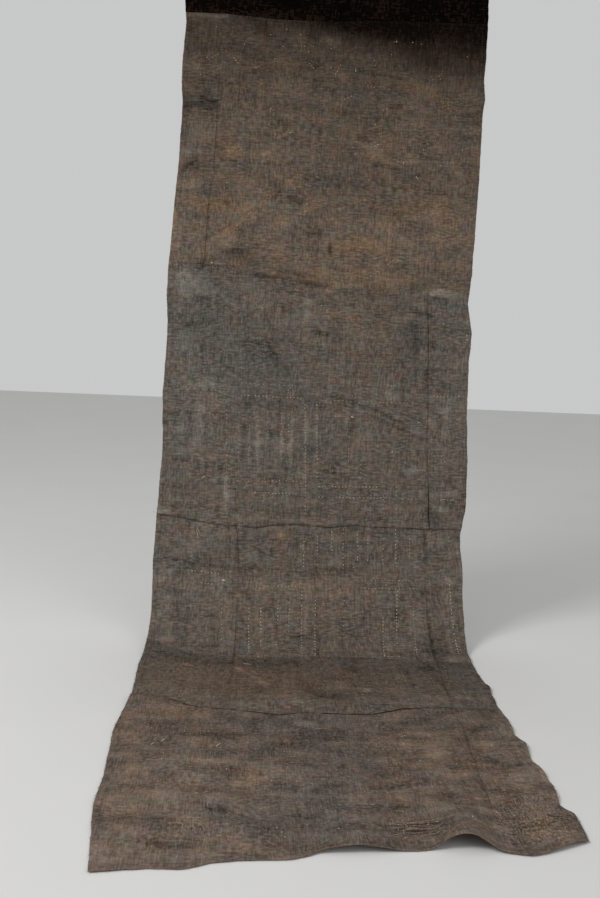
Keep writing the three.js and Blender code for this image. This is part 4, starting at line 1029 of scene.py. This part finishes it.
def scatter_forms(name, form, quads, across, along, turn, size, rise, material, slot):
    """Copies of one small form, laid on the face of the cloth. form has its own across, along and
    up, in millimetres; size holds a row of three factors for each copy."""
    point, sideways, onward, facing = cloth_frame(across, along)
    cosine, sine = np.cos(turn)[:, None], np.sin(turn)[:, None]
    first = sideways * cosine + onward * sine
    second = onward * cosine - sideways * sine
    base = point + facing * (THICK / 2 + rise)[:, None]
    local = form[None] * size[:, None, :]
    points = (
        base[:, None]
        + first[:, None] * local[..., 0:1]
        + second[:, None] * local[..., 1:2]
        + facing[:, None] * local[..., 2:3]
    ).reshape(-1, 3)
    starts = np.arange(len(across)) * len(form)
    faces = (quads[None] + starts[:, None, None]).reshape(-1, quads.shape[1])
    places = np.repeat(np.stack([across, -along], 1), len(form), 0)
    piece = make_mesh(name, points, faces.tolist(), places, {})
    piece.data.materials.append(material)
    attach(piece, "root")
    return piece


def ribbon_form(stations, widths, thickness, arch):
    """A closed ribbon of four sides along its own first axis, arched and tapered."""
    stations = np.array(stations, float)
    sides = [(-1, 0), (0, -1), (1, 0), (0, 1)]
    rings = []
    for station, width in zip(stations, widths):
        lift = arch * (1 - (2 * station) ** 2)
        rings += [(station, side * width / 2, lift + up * thickness / 2) for side, up in sides]
    quads = []
    for ring in range(len(stations) - 1):
        for side in range(4):
            a = 4 * ring + side
            b = 4 * ring + (side + 1) % 4
            quads.append((a, a + 4, b + 4, b))
    last = 4 * (len(stations) - 1)
    quads += [(0, 1, 2, 3), (last + 3, last + 2, last + 1, last)]
    return np.array(rings), np.array(quads)


STITCH_PITCH = 8.0
STITCH_LENGTH = 3.3
STITCH_WIDTH = 1.95
FAINT = 0.75                   # a row of stitches less bold than this has them further apart
WORN_AWAY = 0.14               # share of the running stitches that are lost
SEAM_PITCH = 5.2
SEAM_WORN_AWAY = 0.22          # share of the seams' stitches that are lost
IN_THE_WEAVE = 0.65            # share of the small splints that lie across, and the rest lie along

# Running stitches of pale thread: rows across the cloth and rows down it, in squared steps.
STITCHED_LINES = rows(
    "from_across from_along to_across to_along bold",
    (271, 977, 311, 978, 1.4), (329, 975, 343, 974, 1.4), (279, 1116, 310, 1115, 0.9),
    (282, 1130, 310, 1129, 0.8), (298, 1218, 336, 1217, 1.0), (344, 829, 347, 848, 1.6),
    (162, 956, 192, 955, 0.8), (-150, 1029, -147, 1164, 0.7), (-60, 1030, -58, 1092, 0.8),
    (169, 1211, 171, 1269, 0.7), (-364, 1268, -339, 1268, 0.7), (-296, 954, -186, 959, 0.6),
    (-186, 966, -22, 967, 0.65), (-324, 978, -198, 987, 0.7), (-175, 993, -30, 994, 0.8),
    (10, 997, 257, 996, 0.65), (-175, 1191, -23, 1185, 0.8), (-149, 1215, -24, 1215, 1.0),
    (12, 1196, 154, 1193, 1.0), (13, 1221, 174, 1218, 1.0), (192, 1219, 246, 1218, 1.0),
    (286, 1217, 333, 1217, 0.9), (-278, 1397, -202, 1402, 1.0), (-246, 1424, -201, 1426, 0.9),
    (-146, 1428, -16, 1426, 0.8), (119, 1407, 284, 1405, 0.8), (119, 1427, 254, 1423, 0.8),
    (-131, 1622, -86, 1619, 1.2), (-22, 1614, 13, 1607, 1.0), (159, 1604, 199, 1602, 1.1),
    (-205, 1005, -193, 1270, 0.7), (-174, 1073, -169, 1165, 0.6), (-134, 1026, -129, 1145, 0.7),
    (-109, 1029, -105, 1117, 0.6), (-78, 1028, -73, 1139, 0.9), (-53, 1045, -48, 1149, 0.6),
    (-24, 998, -12, 1263, 0.9), (3, 997, 11, 1177, 0.8), (165, 1188, 168, 1257, 0.6),
    (196, 1187, 199, 1256, 0.7), (-13, 1305, -11, 1384, 1.1), (18, 1309, 21, 1387, 0.9),
    (51, 1296, 53, 1346, 1.1), (77, 1291, 80, 1386, 0.9), (111, 1294, 113, 1367, 0.9),
    (136, 1305, 137, 1366, 0.8), (170, 1292, 172, 1372, 0.9), (200, 1287, 203, 1378, 1.1),
    (262, 1289, 263, 1376, 1.0), (325, 1299, 327, 1356, 0.6), (-196, 1427, -188, 1627, 0.6),
    (-133, 1475, -131, 1612, 1.3), (-106, 1474, -105, 1577, 1.3), (-68, 1457, -68, 1508, 1.1),
    (-43, 1460, -43, 1536, 0.9), (-14, 1433, -17, 1604, 1.0), (17, 1454, 12, 1607, 1.0),
    (82, 1430, 79, 1548, 0.5), (170, 1489, 163, 1604, 0.9), (205, 1427, 196, 1558, 1.3),
    (243, 1440, 236, 1600, 0.9), (262, 1459, 256, 1570, 0.9), (327, 1401, 331, 1587, 1.3),
    (80, 1035, 83, 1170, 0.7), (110, 1072, 112, 1176, 0.7), (136, 1190, 138, 1262, 0.6),
    (233, 1300, 234, 1378, 0.9),
)

# What is left of an older, golden pattern of lozenges.
GOLDEN_LINES = rows(
    "from_across from_along to_across to_along bold",
    (-194, 414, -219, 436, 1.5), (-62, 478, -94, 500, 1.3), (-116, 525, -149, 552, 1.4),
    (-167, 571, -175, 578, 2.4), (-184, 590, -237, 644, 1.5), (-134, 632, -136, 641, 2.2),
    (-108, 144, -100, 155, 1.4), (-77, 149, -72, 160, 1.6), (-83, 184, -50, 184, 1),
    (-51, 219, -32, 241, 1), (23, 219, 11, 247, 1.3), (-150, 269, -161, 278, 1.5),
    (-226, 218, -212, 233, 1.2), (123, 324, 144, 309, 1.6), (32, 302, 54, 291, 1.2),
    (84, 266, 107, 269, 1), (174, 660, 151, 678, 2.4), (140, 688, 104, 712, 1.5), (86, 637, 91, 644, 2),
    (98, 439, 116, 424, 1.3), (192, 434, 199, 441, 2), (149, 158, 149, 165, 2.2),
    (-252, 208, -283, 228, 0.9), (258, 289, 287, 315, 0.9), (-178, 429, -149, 450, 0.8),
    (-196, 522, -184, 498, 1), (-215, 610, -233, 620, 1.2), (32, 568, 61, 583, 0.9),
    (247, 557, 281, 581, 1), (300, 594, 273, 628, 1), (-227, 708, -10, 912, 0.6),
    (-292, 727, -103, 895, 0.5), (-258, 787, -204, 819, 0.6), (-162, 870, -131, 841, 0.6),
    (40, 884, 78, 855, 0.8), (32, 931, 55, 958, 0.7), (-3, 817, 17, 848, 0.7), (79, 874, 89, 896, 1.2),
    (163, 879, 197, 910, 0.6), (-90, 2110, -20, 2080, 0.8), (80, 2060, 200, 2052, 0.7),
)


def stitches_along(table, random):
    """Places, turns and boldness of the stitches of a table's lines. A few are worn away."""
    across, along, turn, bold = [], [], [], []
    for x0, s0, x1, s1, weight in zip(*table.values()):
        pitch = STITCH_PITCH * (1.2 if weight < FAINT else 1.0)
        count = max(2, round(math.hypot(x1 - x0, s1 - s0) / pitch))
        kept = (np.arange(count) + 0.5)[random.uniform(size=count) > WORN_AWAY]
        share = kept / count
        across.append(x0 + (x1 - x0) * share + random.normal(0, 0.4, len(share)))
        along.append(s0 + (s1 - s0) * share + random.normal(0, 0.4, len(share)))
        turn.append(math.atan2(s1 - s0, x1 - x0) + random.normal(0, 0.15, len(share)))
        bold.append(weight * random.uniform(0.7, 1.4, len(share)))
    return (np.concatenate(values) for values in (across, along, turn, bold))


def running_stitches(name, table, panel_top, panel_bottom, material, slot, seed):
    """The stitches of a table that lie between two seams."""
    random = np.random.default_rng(seed)
    across, along, turn, bold = stitches_along(table, random)
    here = (along > panel_top(across)) & (along < panel_bottom(across))
    across, along, turn, bold = across[here], along[here], turn[here], bold[here]
    form, quads = ribbon_form((-0.5, -0.28, 0.28, 0.5), (0.35, 1.0, 1.0, 0.35), 0.8, 0.45)
    size = np.stack([STITCH_LENGTH * np.sqrt(bold), STITCH_WIDTH * bold ** 0.6, np.full_like(bold, 0.9)], 1)
    rise = np.full(len(across), 0.12)
    return scatter_forms(name, form, quads, across, along, turn, size, rise, material, slot)


def seam_stitches(name, line, low, high, lies_across, side, material, slot, seed):
    """Small overcast stitches that cross a seam, along its whole length."""
    random = np.random.default_rng(seed)
    run = np.arange(low + 8, high - 6, SEAM_PITCH)
    run = run + random.normal(0, 0.8, len(run))
    run = run[random.uniform(size=len(run)) > SEAM_WORN_AWAY]
    offset = side * random.normal(2.2, 0.5, len(run))
    place = line(run) + offset
    across, along = (run, place) if lies_across else (place, run)
    slant = random.normal(0.5, 0.2, len(run))
    turn = slant + (math.pi / 2 if lies_across else 0)
    form, quads = ribbon_form((-0.5, -0.25, 0.25, 0.5), (0.4, 1.0, 1.0, 0.4), 0.7, 0.5)
    length, width = random.uniform(3.6, 5.4, len(run)), random.uniform(0.7, 1.1, len(run))
    size = np.stack([length, width, np.full_like(run, 0.8)], 1)
    return scatter_forms(name, form, quads, across, along, turn, size, line.rise(run), material, slot)


# Splints of raffia caught on the face, the largest ones where they show.
PALE_SPLINTS = rows(
    "across along turn length width",
    (-193, 1417, 10, 9, 5.0), (183, 1111, 80, 6, 4.0), (86, 1033, 5, 8, 3.0), (-136, 1662, 10, 20, 2.6),
    (-297, 2061, -60, 12, 2.2), (-281, 2047, -60, 13, 2.4), (-186, 2056, -55, 15, 2.4),
    (-258, 1316, 80, 26, 1.6), (-256, 1306, 60, 14, 1.4), (-250, 1184, -35, 11, 2.0),
    (-71, 1568, -40, 9, 2.6), (99, 1796, 65, 22, 2.4), (101, 1790, 15, 12, 2.0),
    (96, 1913, 60, 10, 4.0), (211, 471, 55, 14, 1.5), (-10, 1979, -10, 20, 1.8),
    (244, 1040, 10, 12, 1.6), (-254, 692, 5, 6, 5.0), (-342, 1268, 0, 8, 5.0),
)
ORANGE_SPLINTS = rows(
    "across along turn length width",
    (-42, 1304, 20, 6, 4.2), (137, 1579, 30, 6, 4.6), (-233, 1145, -5, 12, 2.0),
    (-155, 1995, 0, 11, 4.0), (8, 1974, -15, 16, 2.2), (-252, 1681, 40, 24, 1.8),
    (41, 1890, 30, 10, 2.0), (-140, 1700, 35, 40, 1.6), (-90, 1726, 30, 34, 1.4),
    (-60, 1890, 5, 12, 3.0), (60, 1120, 10, 7, 2.6),
)
GOLDEN_SPLINTS = rows("across along turn length width", (-120, 2010, 5, 14, 2.0))


def splints(name, table, extra, area, material, slot, seed):
    """The placed splints and as many more small ones as extra says, strewn over an area."""
    random = np.random.default_rng(seed)
    left, right, first, last = area
    across = np.concatenate([table["across"], random.uniform(left, right, extra)])
    along = np.concatenate([table["along"], random.uniform(first, last, extra)])
    along_the_weave = np.where(random.uniform(size=extra) < IN_THE_WEAVE, 0, 90) + random.normal(0, 14, extra)
    turn = np.radians(np.concatenate([table["turn"], along_the_weave]))
    length = np.concatenate([table["length"], 1.8 + random.exponential(1.3, extra)])
    width = np.concatenate([table["width"], random.uniform(0.6, 1.7, extra)])
    form, quads = ribbon_form((-0.5, -0.3, 0, 0.3, 0.5), (0.25, 0.9, 1.0, 0.8, 0.2), 0.35, 0.9)
    size = np.stack([length, width, np.full_like(length, 0.7)], 1)
    rise = np.full(len(across), 0.1)
    return scatter_forms(name, form, quads, across, along, turn, size, rise, material, slot)


def frayed_edge(name, edge, lies_across, ends, count, inset, way, lengths, material, slot, fray, seed):
    """Fine loose fibres that stand out from an edge. way holds their turn and how much it scatters."""
    run = fray.uniform(*ends, count)
    turn = way[0] + fray.normal(0, way[1], count)
    length = fray.uniform(*lengths, count)
    place = edge(run) + inset
    across, along = (run, place) if lies_across else (place, run)
    random = np.random.default_rng(seed)
    form, quads = ribbon_form((-0.5, 0, 0.5), (1.0, 0.8, 0.2), 0.3, 0.6)
    form[:, 0] += 0.42
    size = np.stack([length, random.uniform(0.3, 0.6, count), random.uniform(0.4, 1.6, count)], 1)
    rise = np.full(count, -0.35)
    return scatter_forms(name, form, quads, across, along, turn, size, rise, material, slot)


# The cloth, piece by piece

left_edge = EdgeLine(SIDES, "along", "left", 0.9, 21)
right_edge = EdgeLine(SIDES, "along", "right", 1.1, 22)
top_edge = EdgeLine(TOP_EDGE, "across", "along", 0.0, 20)
front_edge = EdgeLine(FRONT_EDGE, "across", "along", 1.1, 27)
seam_0 = EdgeLine(
    SEAM_0, "across", "along", 0.7, 23,
    rows("at dark", (-340, 0.25), (0, 0.1), (350, 0.0)), crossings=(-252,),
)
seam_1 = EdgeLine(
    SEAM_1, "across", "along", 0.8, 24,
    rows("at dark", (-350, 0.2), (-260, 0.5), (-225, 0.2), (-160, 0.15), (-90, 0.2), (0, 0.15),
         (60, 0.15), (150, 0.1), (350, 0.15)),
    crossings=(-272, 248),
)
seam_2 = EdgeLine(
    SEAM_2, "across", "along", 0.9, 25,
    rows("at dark", (-350, 0.7), (-320, 0.55), (-300, 0.15), (-270, 0.45), (-215, 0.45),
         (-195, 0.1), (-165, 0.15), (-140, 0.6), (-70, 0.65), (-50, 0.35), (10, 0.3), (40, 0.6),
         (75, 0.55), (95, 0.15), (130, 0.35), (210, 0.3), (235, 0.65), (330, 0.55)),
    crossings=(278, 264, -171),
)
seam_3 = EdgeLine(
    SEAM_3, "across", "along", 1.2, 26,
    rows("at dark", (-366, 0.2), (-300, 0.2), (-275, 1.2), (-230, 1.1), (-215, 0.4), (-195, 0.9),
         (-160, 0.8), (-145, 0.3), (-130, 1.4), (-55, 1.4), (-40, 0.5), (-5, 0.5), (8, 1.4),
         (46, 1.3), (50, 0.7), (60, 1.5), (170, 1.4), (185, 0.7), (250, 0.8), (265, 0.3), (350, 0.35)),
    crossings=(-181, 252), spread=4.0,
)
strip_1_left = EdgeLine(
    STRIP_1_LEFT, "along", "across", 0.5, 28,
    rows("at dark", (120, 0.0), (300, 0.1), (330, 0.5), (560, 0.6), (700, 0.5)), spread=1.5,
)
strip_1_join = EdgeLine(
    STRIP_1_JOIN, "across", "along", 0.6, 29, rows("at dark", (-350, 0.3), (-250, 0.1)),
    crossings=(-256,),
)
strip_2_right = EdgeLine(
    STRIP_2_RIGHT, "along", "across", 0.5, 30,
    rows("at dark", (735, 0.2), (800, 0.6), (1000, 0.45), (1100, 0.3), (1190, 0.5), (1210, 1.1),
         (1280, 1.1)), spread=1.5,
)
strip_3_left = EdgeLine(
    STRIP_3_LEFT, "along", "across", 0.6, 31,
    rows("at dark", (1290, 0.4), (1420, 0.25), (1500, 0.45), (1640, 0.6), (1700, 0.2), (1890, 0.3)),
)
strip_3_right = EdgeLine(
    STRIP_3_RIGHT, "along", "across", 0.6, 32,
    rows("at dark", (1290, 0.4), (1400, 0.2), (1540, 0.2), (1600, 0.4), (1700, 0.25), (1880, 0.1)),
)
strip_4_right = EdgeLine(
    STRIP_4_RIGHT, "along", "across", 0.8, 33,
    rows("at dark", (1890, 0.2), (1940, 0.5), (1970, 0.1), (2040, 0.4), (2090, 0.1), (2190, 0.35),
         (2260, 0.35), (2290, 0.1), (2400, 0.2)),
)

BLACK = colour(17, 13, 10)
DARK = colour(38, 31, 26)
# How the weave's grain is stretched, across and along.
WORN_EVENLY = (1.0, 1.0)
ON_THE_FLOOR = (0.58, 1.35)
dark_cloth = raffia(
    "dark_raffia", colour(13, 8, 5), colour(24, 14, 8), colour(26, 19, 13), BLACK,
    warm_share=0.2, contrast=0.5, patchy=0.5, stretch=WORN_EVENLY, seed=1.0,
)
rust_cloth = raffia(
    "rust_raffia", colour(86, 80, 74.6), colour(113, 92, 73), colour(120, 109, 96), DARK,
    warm_share=0.3, contrast=1.0, patchy=0.85, stretch=WORN_EVENLY, seed=21.0,
)
grey_cloth = raffia(
    "grey_raffia", colour(86.4, 83, 78.6), colour(107, 90, 76), colour(120, 114, 105), DARK,
    warm_share=0.25, contrast=1.08, patchy=0.8, stretch=WORN_EVENLY, seed=41.0,
)
floor_cloth = raffia(
    "floor_raffia", colour(90, 83, 78), colour(118, 97, 80), colour(128, 117, 104), DARK,
    warm_share=0.22, contrast=1.0, patchy=1.9, stretch=ON_THE_FLOOR, seed=61.0,
)

CLOTHS = (
    ("top_band", top_edge, seam_0, left_edge, right_edge, "hem under hem hem", dark_cloth, "hung"),
    ("panel_1_left_strip_upper", seam_0, strip_1_join, left_edge, strip_1_left,
     "over over hem under", rust_cloth, "hung"),
    ("panel_1_left_strip_lower", strip_1_join, seam_1, left_edge, strip_1_left,
     "under under hem under", rust_cloth, "hung"),
    ("panel_1", seam_0, seam_1, strip_1_left, right_edge, "over under over hem", rust_cloth, "hung"),
    ("panel_2", seam_1, seam_2, left_edge, strip_2_right, "over over hem over", grey_cloth, "hung"),
    ("panel_2_right_strip", seam_1, seam_2, strip_2_right, right_edge, "over over under hem",
     grey_cloth, "hung"),
    ("panel_3_left_strip", seam_2, seam_3, left_edge, strip_3_left, "under under hem under",
     grey_cloth, "draped"),
    ("panel_3", seam_2, seam_3, strip_3_left, strip_3_right, "under under over over",
     grey_cloth, "draped"),
    ("panel_3_right_strip", seam_2, seam_3, strip_3_right, right_edge, "under under under hem",
     grey_cloth, "draped"),
    ("panel_4", seam_3, front_edge, left_edge, strip_4_right, "over hem hem over", floor_cloth, "laid"),
    ("panel_4_right_strip", seam_3, front_edge, strip_4_right, right_edge, "over hem under hem",
     floor_cloth, "laid"),
)

for node, top, bottom, left, right, rims, material, held in CLOTHS:
    lines = {"top": top, "bottom": bottom, "left": left, "right": right}
    piece, cut = sewn_piece(node + "_cloth", lines, dict(zip(lines, rims.split())))
    piece.data.materials.append(material)
    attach(piece, "root")
    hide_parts(node)

pale_thread = thread("pale_thread", colour(200, 190, 164), colour(166, 152, 126))
cream_thread = thread("cream_thread", colour(216, 192, 160), colour(178, 142, 106))
golden_thread = thread("golden_thread", colour(176, 136, 98), colour(142, 110, 82))
orange_fibre = thread("orange_fibre", colour(190, 124, 78), colour(142, 94, 64))
worn_thread = thread("worn_thread", colour(98, 90, 79), colour(68, 60, 52))
black_thread = thread("black_thread", colour(19, 13, 9), colour(10, 7, 5))
brown_thread = thread("brown_thread", colour(92, 62, 44), colour(58, 42, 32))

STITCHED_PANELS = (
    ("stitches_panel_2", STITCHED_LINES, seam_1, seam_2, pale_thread, "raffia_grey"),
    ("stitches_panel_3", STITCHED_LINES, seam_2, seam_3, pale_thread, "raffia_grey"),
    ("lozenge_stitches_panel_1", GOLDEN_LINES, seam_0, seam_1, golden_thread, "raffia_rust"),
    ("lozenge_stitches_panel_2", GOLDEN_LINES, seam_1, seam_2, golden_thread, "raffia_grey"),
    ("lozenge_stitches_panel_4", GOLDEN_LINES, seam_3, front_edge, golden_thread, "raffia_floor"),
)
for number, stitching in enumerate(STITCHED_PANELS):
    running_stitches(*stitching, seed=51 + number)

# Each seam, where it starts and ends, whether it runs across the cloth, and on which side of it the
# upper piece lies.
SEAMS_SEWN = (
    ("seam_stitches_0", seam_0, -335, -50, True, 1, worn_thread, "raffia_rust"),
    ("seam_stitches_0_right", seam_0, -50, 355, True, 1, black_thread, "raffia_dark"),
    ("seam_stitches_1", seam_1, -345, 345, True, 1, brown_thread, "raffia_grey"),
    ("seam_stitches_2", seam_2, -345, 345, True, -1, brown_thread, "raffia_grey"),
    ("seam_stitches_3", seam_3, -350, 340, True, 1, brown_thread, "raffia_floor"),
    ("strip_stitches_1", strip_1_left, 330, 695, False, 1, brown_thread, "raffia_rust"),
    ("strip_stitches_2", strip_2_right, 745, 1280, False, -1, brown_thread, "raffia_grey"),
    ("strip_stitches_3_left", strip_3_left, 1300, 1900, False, 1, brown_thread, "raffia_grey"),
    ("strip_stitches_3_right", strip_3_right, 1300, 1870, False, -1, brown_thread, "raffia_grey"),
    ("strip_stitches_4", strip_4_right, 1895, 2370, False, -1, brown_thread, "raffia_floor"),
)
for number, sewing in enumerate(SEAMS_SEWN):
    seam_stitches(*sewing, seed=70 + number)

# Areas over which small splints are strewn: left, right, start and end.
ALL_OVER = (-325, 325, 150, 2360)
ON_THE_FRONT = (-340, 335, 1960, 2370)
BY_THE_WAVE = (50, 150, 2290, 2350)
STREWN = (
    ("pale_splints", PALE_SPLINTS, 520, ALL_OVER, pale_thread, "raffia_floor"),
    ("orange_splints", ORANGE_SPLINTS, 260, ALL_OVER, orange_fibre, "raffia_rust"),
    ("front_splints", GOLDEN_SPLINTS, 260, ON_THE_FRONT, cream_thread, "raffia_floor"),
    ("wave_splints", GOLDEN_SPLINTS, 40, BY_THE_WAVE, cream_thread, "raffia_floor"),
)
for number, strewing in enumerate(STREWN):
    splints(*strewing, seed=81 + number)

# Each free edge, whether it lies across, where its fibres start and end, how many they are, how far
# they are set in, the way they point and its scatter, and their shortest and longest.
FREE_EDGES = (
    ("front_fibres", front_edge, True, (-345, 338), 420, -0.4, (math.pi / 2, 0.7), (1.2, 4.5),
     golden_thread, "raffia_floor"),
    ("left_fibres", left_edge, False, (130, 2430), 700, 0.4, (math.pi, 0.8), (1.0, 3.6),
     brown_thread, "raffia_grey"),
    ("right_fibres", right_edge, False, (130, 2360), 700, -0.4, (0, 0.8), (1.0, 3.6),
     brown_thread, "raffia_grey"),
)
fray = np.random.default_rng(91)
for number, free_edge in enumerate(FREE_EDGES):
    frayed_edge(*free_edge, fray, seed=92 + number)


# Floor, light and camera

def pale_floor():
    bpy.ops.object.select_all(action="DESELECT")
    bpy.ops.mesh.primitive_plane_add(size=14, location=(0, -0.8, -DROP * MM))
    floor = bpy.context.object
    floor.name = "floor"
    finish = Finish("pale_floor")
    place = finish.node("ShaderNodeTexCoord", {}, {}, output="Object")
    sockets = {"Vector": place, "Scale": 3.0, "Detail": 4.0}
    mottle = finish.node("ShaderNodeTexNoise", {}, sockets, output="Fac")
    tint = finish.blend(mottle, (0.62, 0.615, 0.60, 1.0), (0.66, 0.655, 0.64, 1.0))
    finish.set(Base_Color=tint, Roughness=0.85)
    floor.data.materials.append(finish.material)


def soft_light(name, place, target, width, height, power):
    light = bpy.data.lights.new(name, "AREA")
    light.shape = "RECTANGLE"
    light.size = width
    light.size_y = height
    light.energy = power
    holder = bpy.data.objects.new(name, light)
    bpy.context.scene.collection.objects.link(holder)
    holder.location = place
    holder.rotation_euler = (Vector(target) - Vector(place)).to_track_quat("-Z", "Y").to_euler()


# The camera stands level, turned a little to the right and rolled, as the picture is.
PICTURE_HEIGHT = 898
FOCAL_PIXELS = 1000
HORIZON_ROW = 316
CAMERA_PLACE = (-182.0, -2303.0, 735.0 - DROP)
CAMERA_YAW = math.radians(3.4)
CAMERA_ROLL = math.radians(2.6)


def picture_camera():
    lens = bpy.data.cameras.new("camera")
    lens.sensor_width = 36
    lens.lens = FOCAL_PIXELS / PICTURE_HEIGHT * lens.sensor_width
    lens.shift_y = (HORIZON_ROW - PICTURE_HEIGHT / 2) / PICTURE_HEIGHT
    camera = bpy.data.objects.new("camera", lens)
    ahead = Vector((math.sin(CAMERA_YAW), math.cos(CAMERA_YAW), 0))
    level_right = Vector((math.cos(CAMERA_YAW), -math.sin(CAMERA_YAW), 0))
    level_up = level_right.cross(ahead)
    right_way = level_right * math.cos(CAMERA_ROLL) + level_up * math.sin(CAMERA_ROLL)
    up_way = level_up * math.cos(CAMERA_ROLL) - level_right * math.sin(CAMERA_ROLL)
    turned = Matrix((right_way, up_way, -ahead)).transposed().to_4x4()
    camera.matrix_world = Matrix.Translation(Vector(CAMERA_PLACE) * MM) @ turned
    bpy.context.scene.collection.objects.link(camera)
    return camera


pale_floor()
soft_light("key", (-2.4, -2.0, 1.2), (0, -0.3, -0.9), 1.2, 1.2, 78)
soft_light("fill", (2.4, -3.2, 0.2), (0, -0.3, -1.0), 2.0, 2.0, 20)
world = bpy.data.worlds.new("studio")
world.use_nodes = True
backdrop = world.node_tree.nodes["Background"].inputs
backdrop["Color"].default_value = (0.93, 0.935, 0.94, 1.0)
backdrop["Strength"].default_value = 0.62
bpy.context.scene.world = world
bpy.context.scene.view_settings.view_transform = "Standard"
bpy.context.scene.camera = picture_camera()
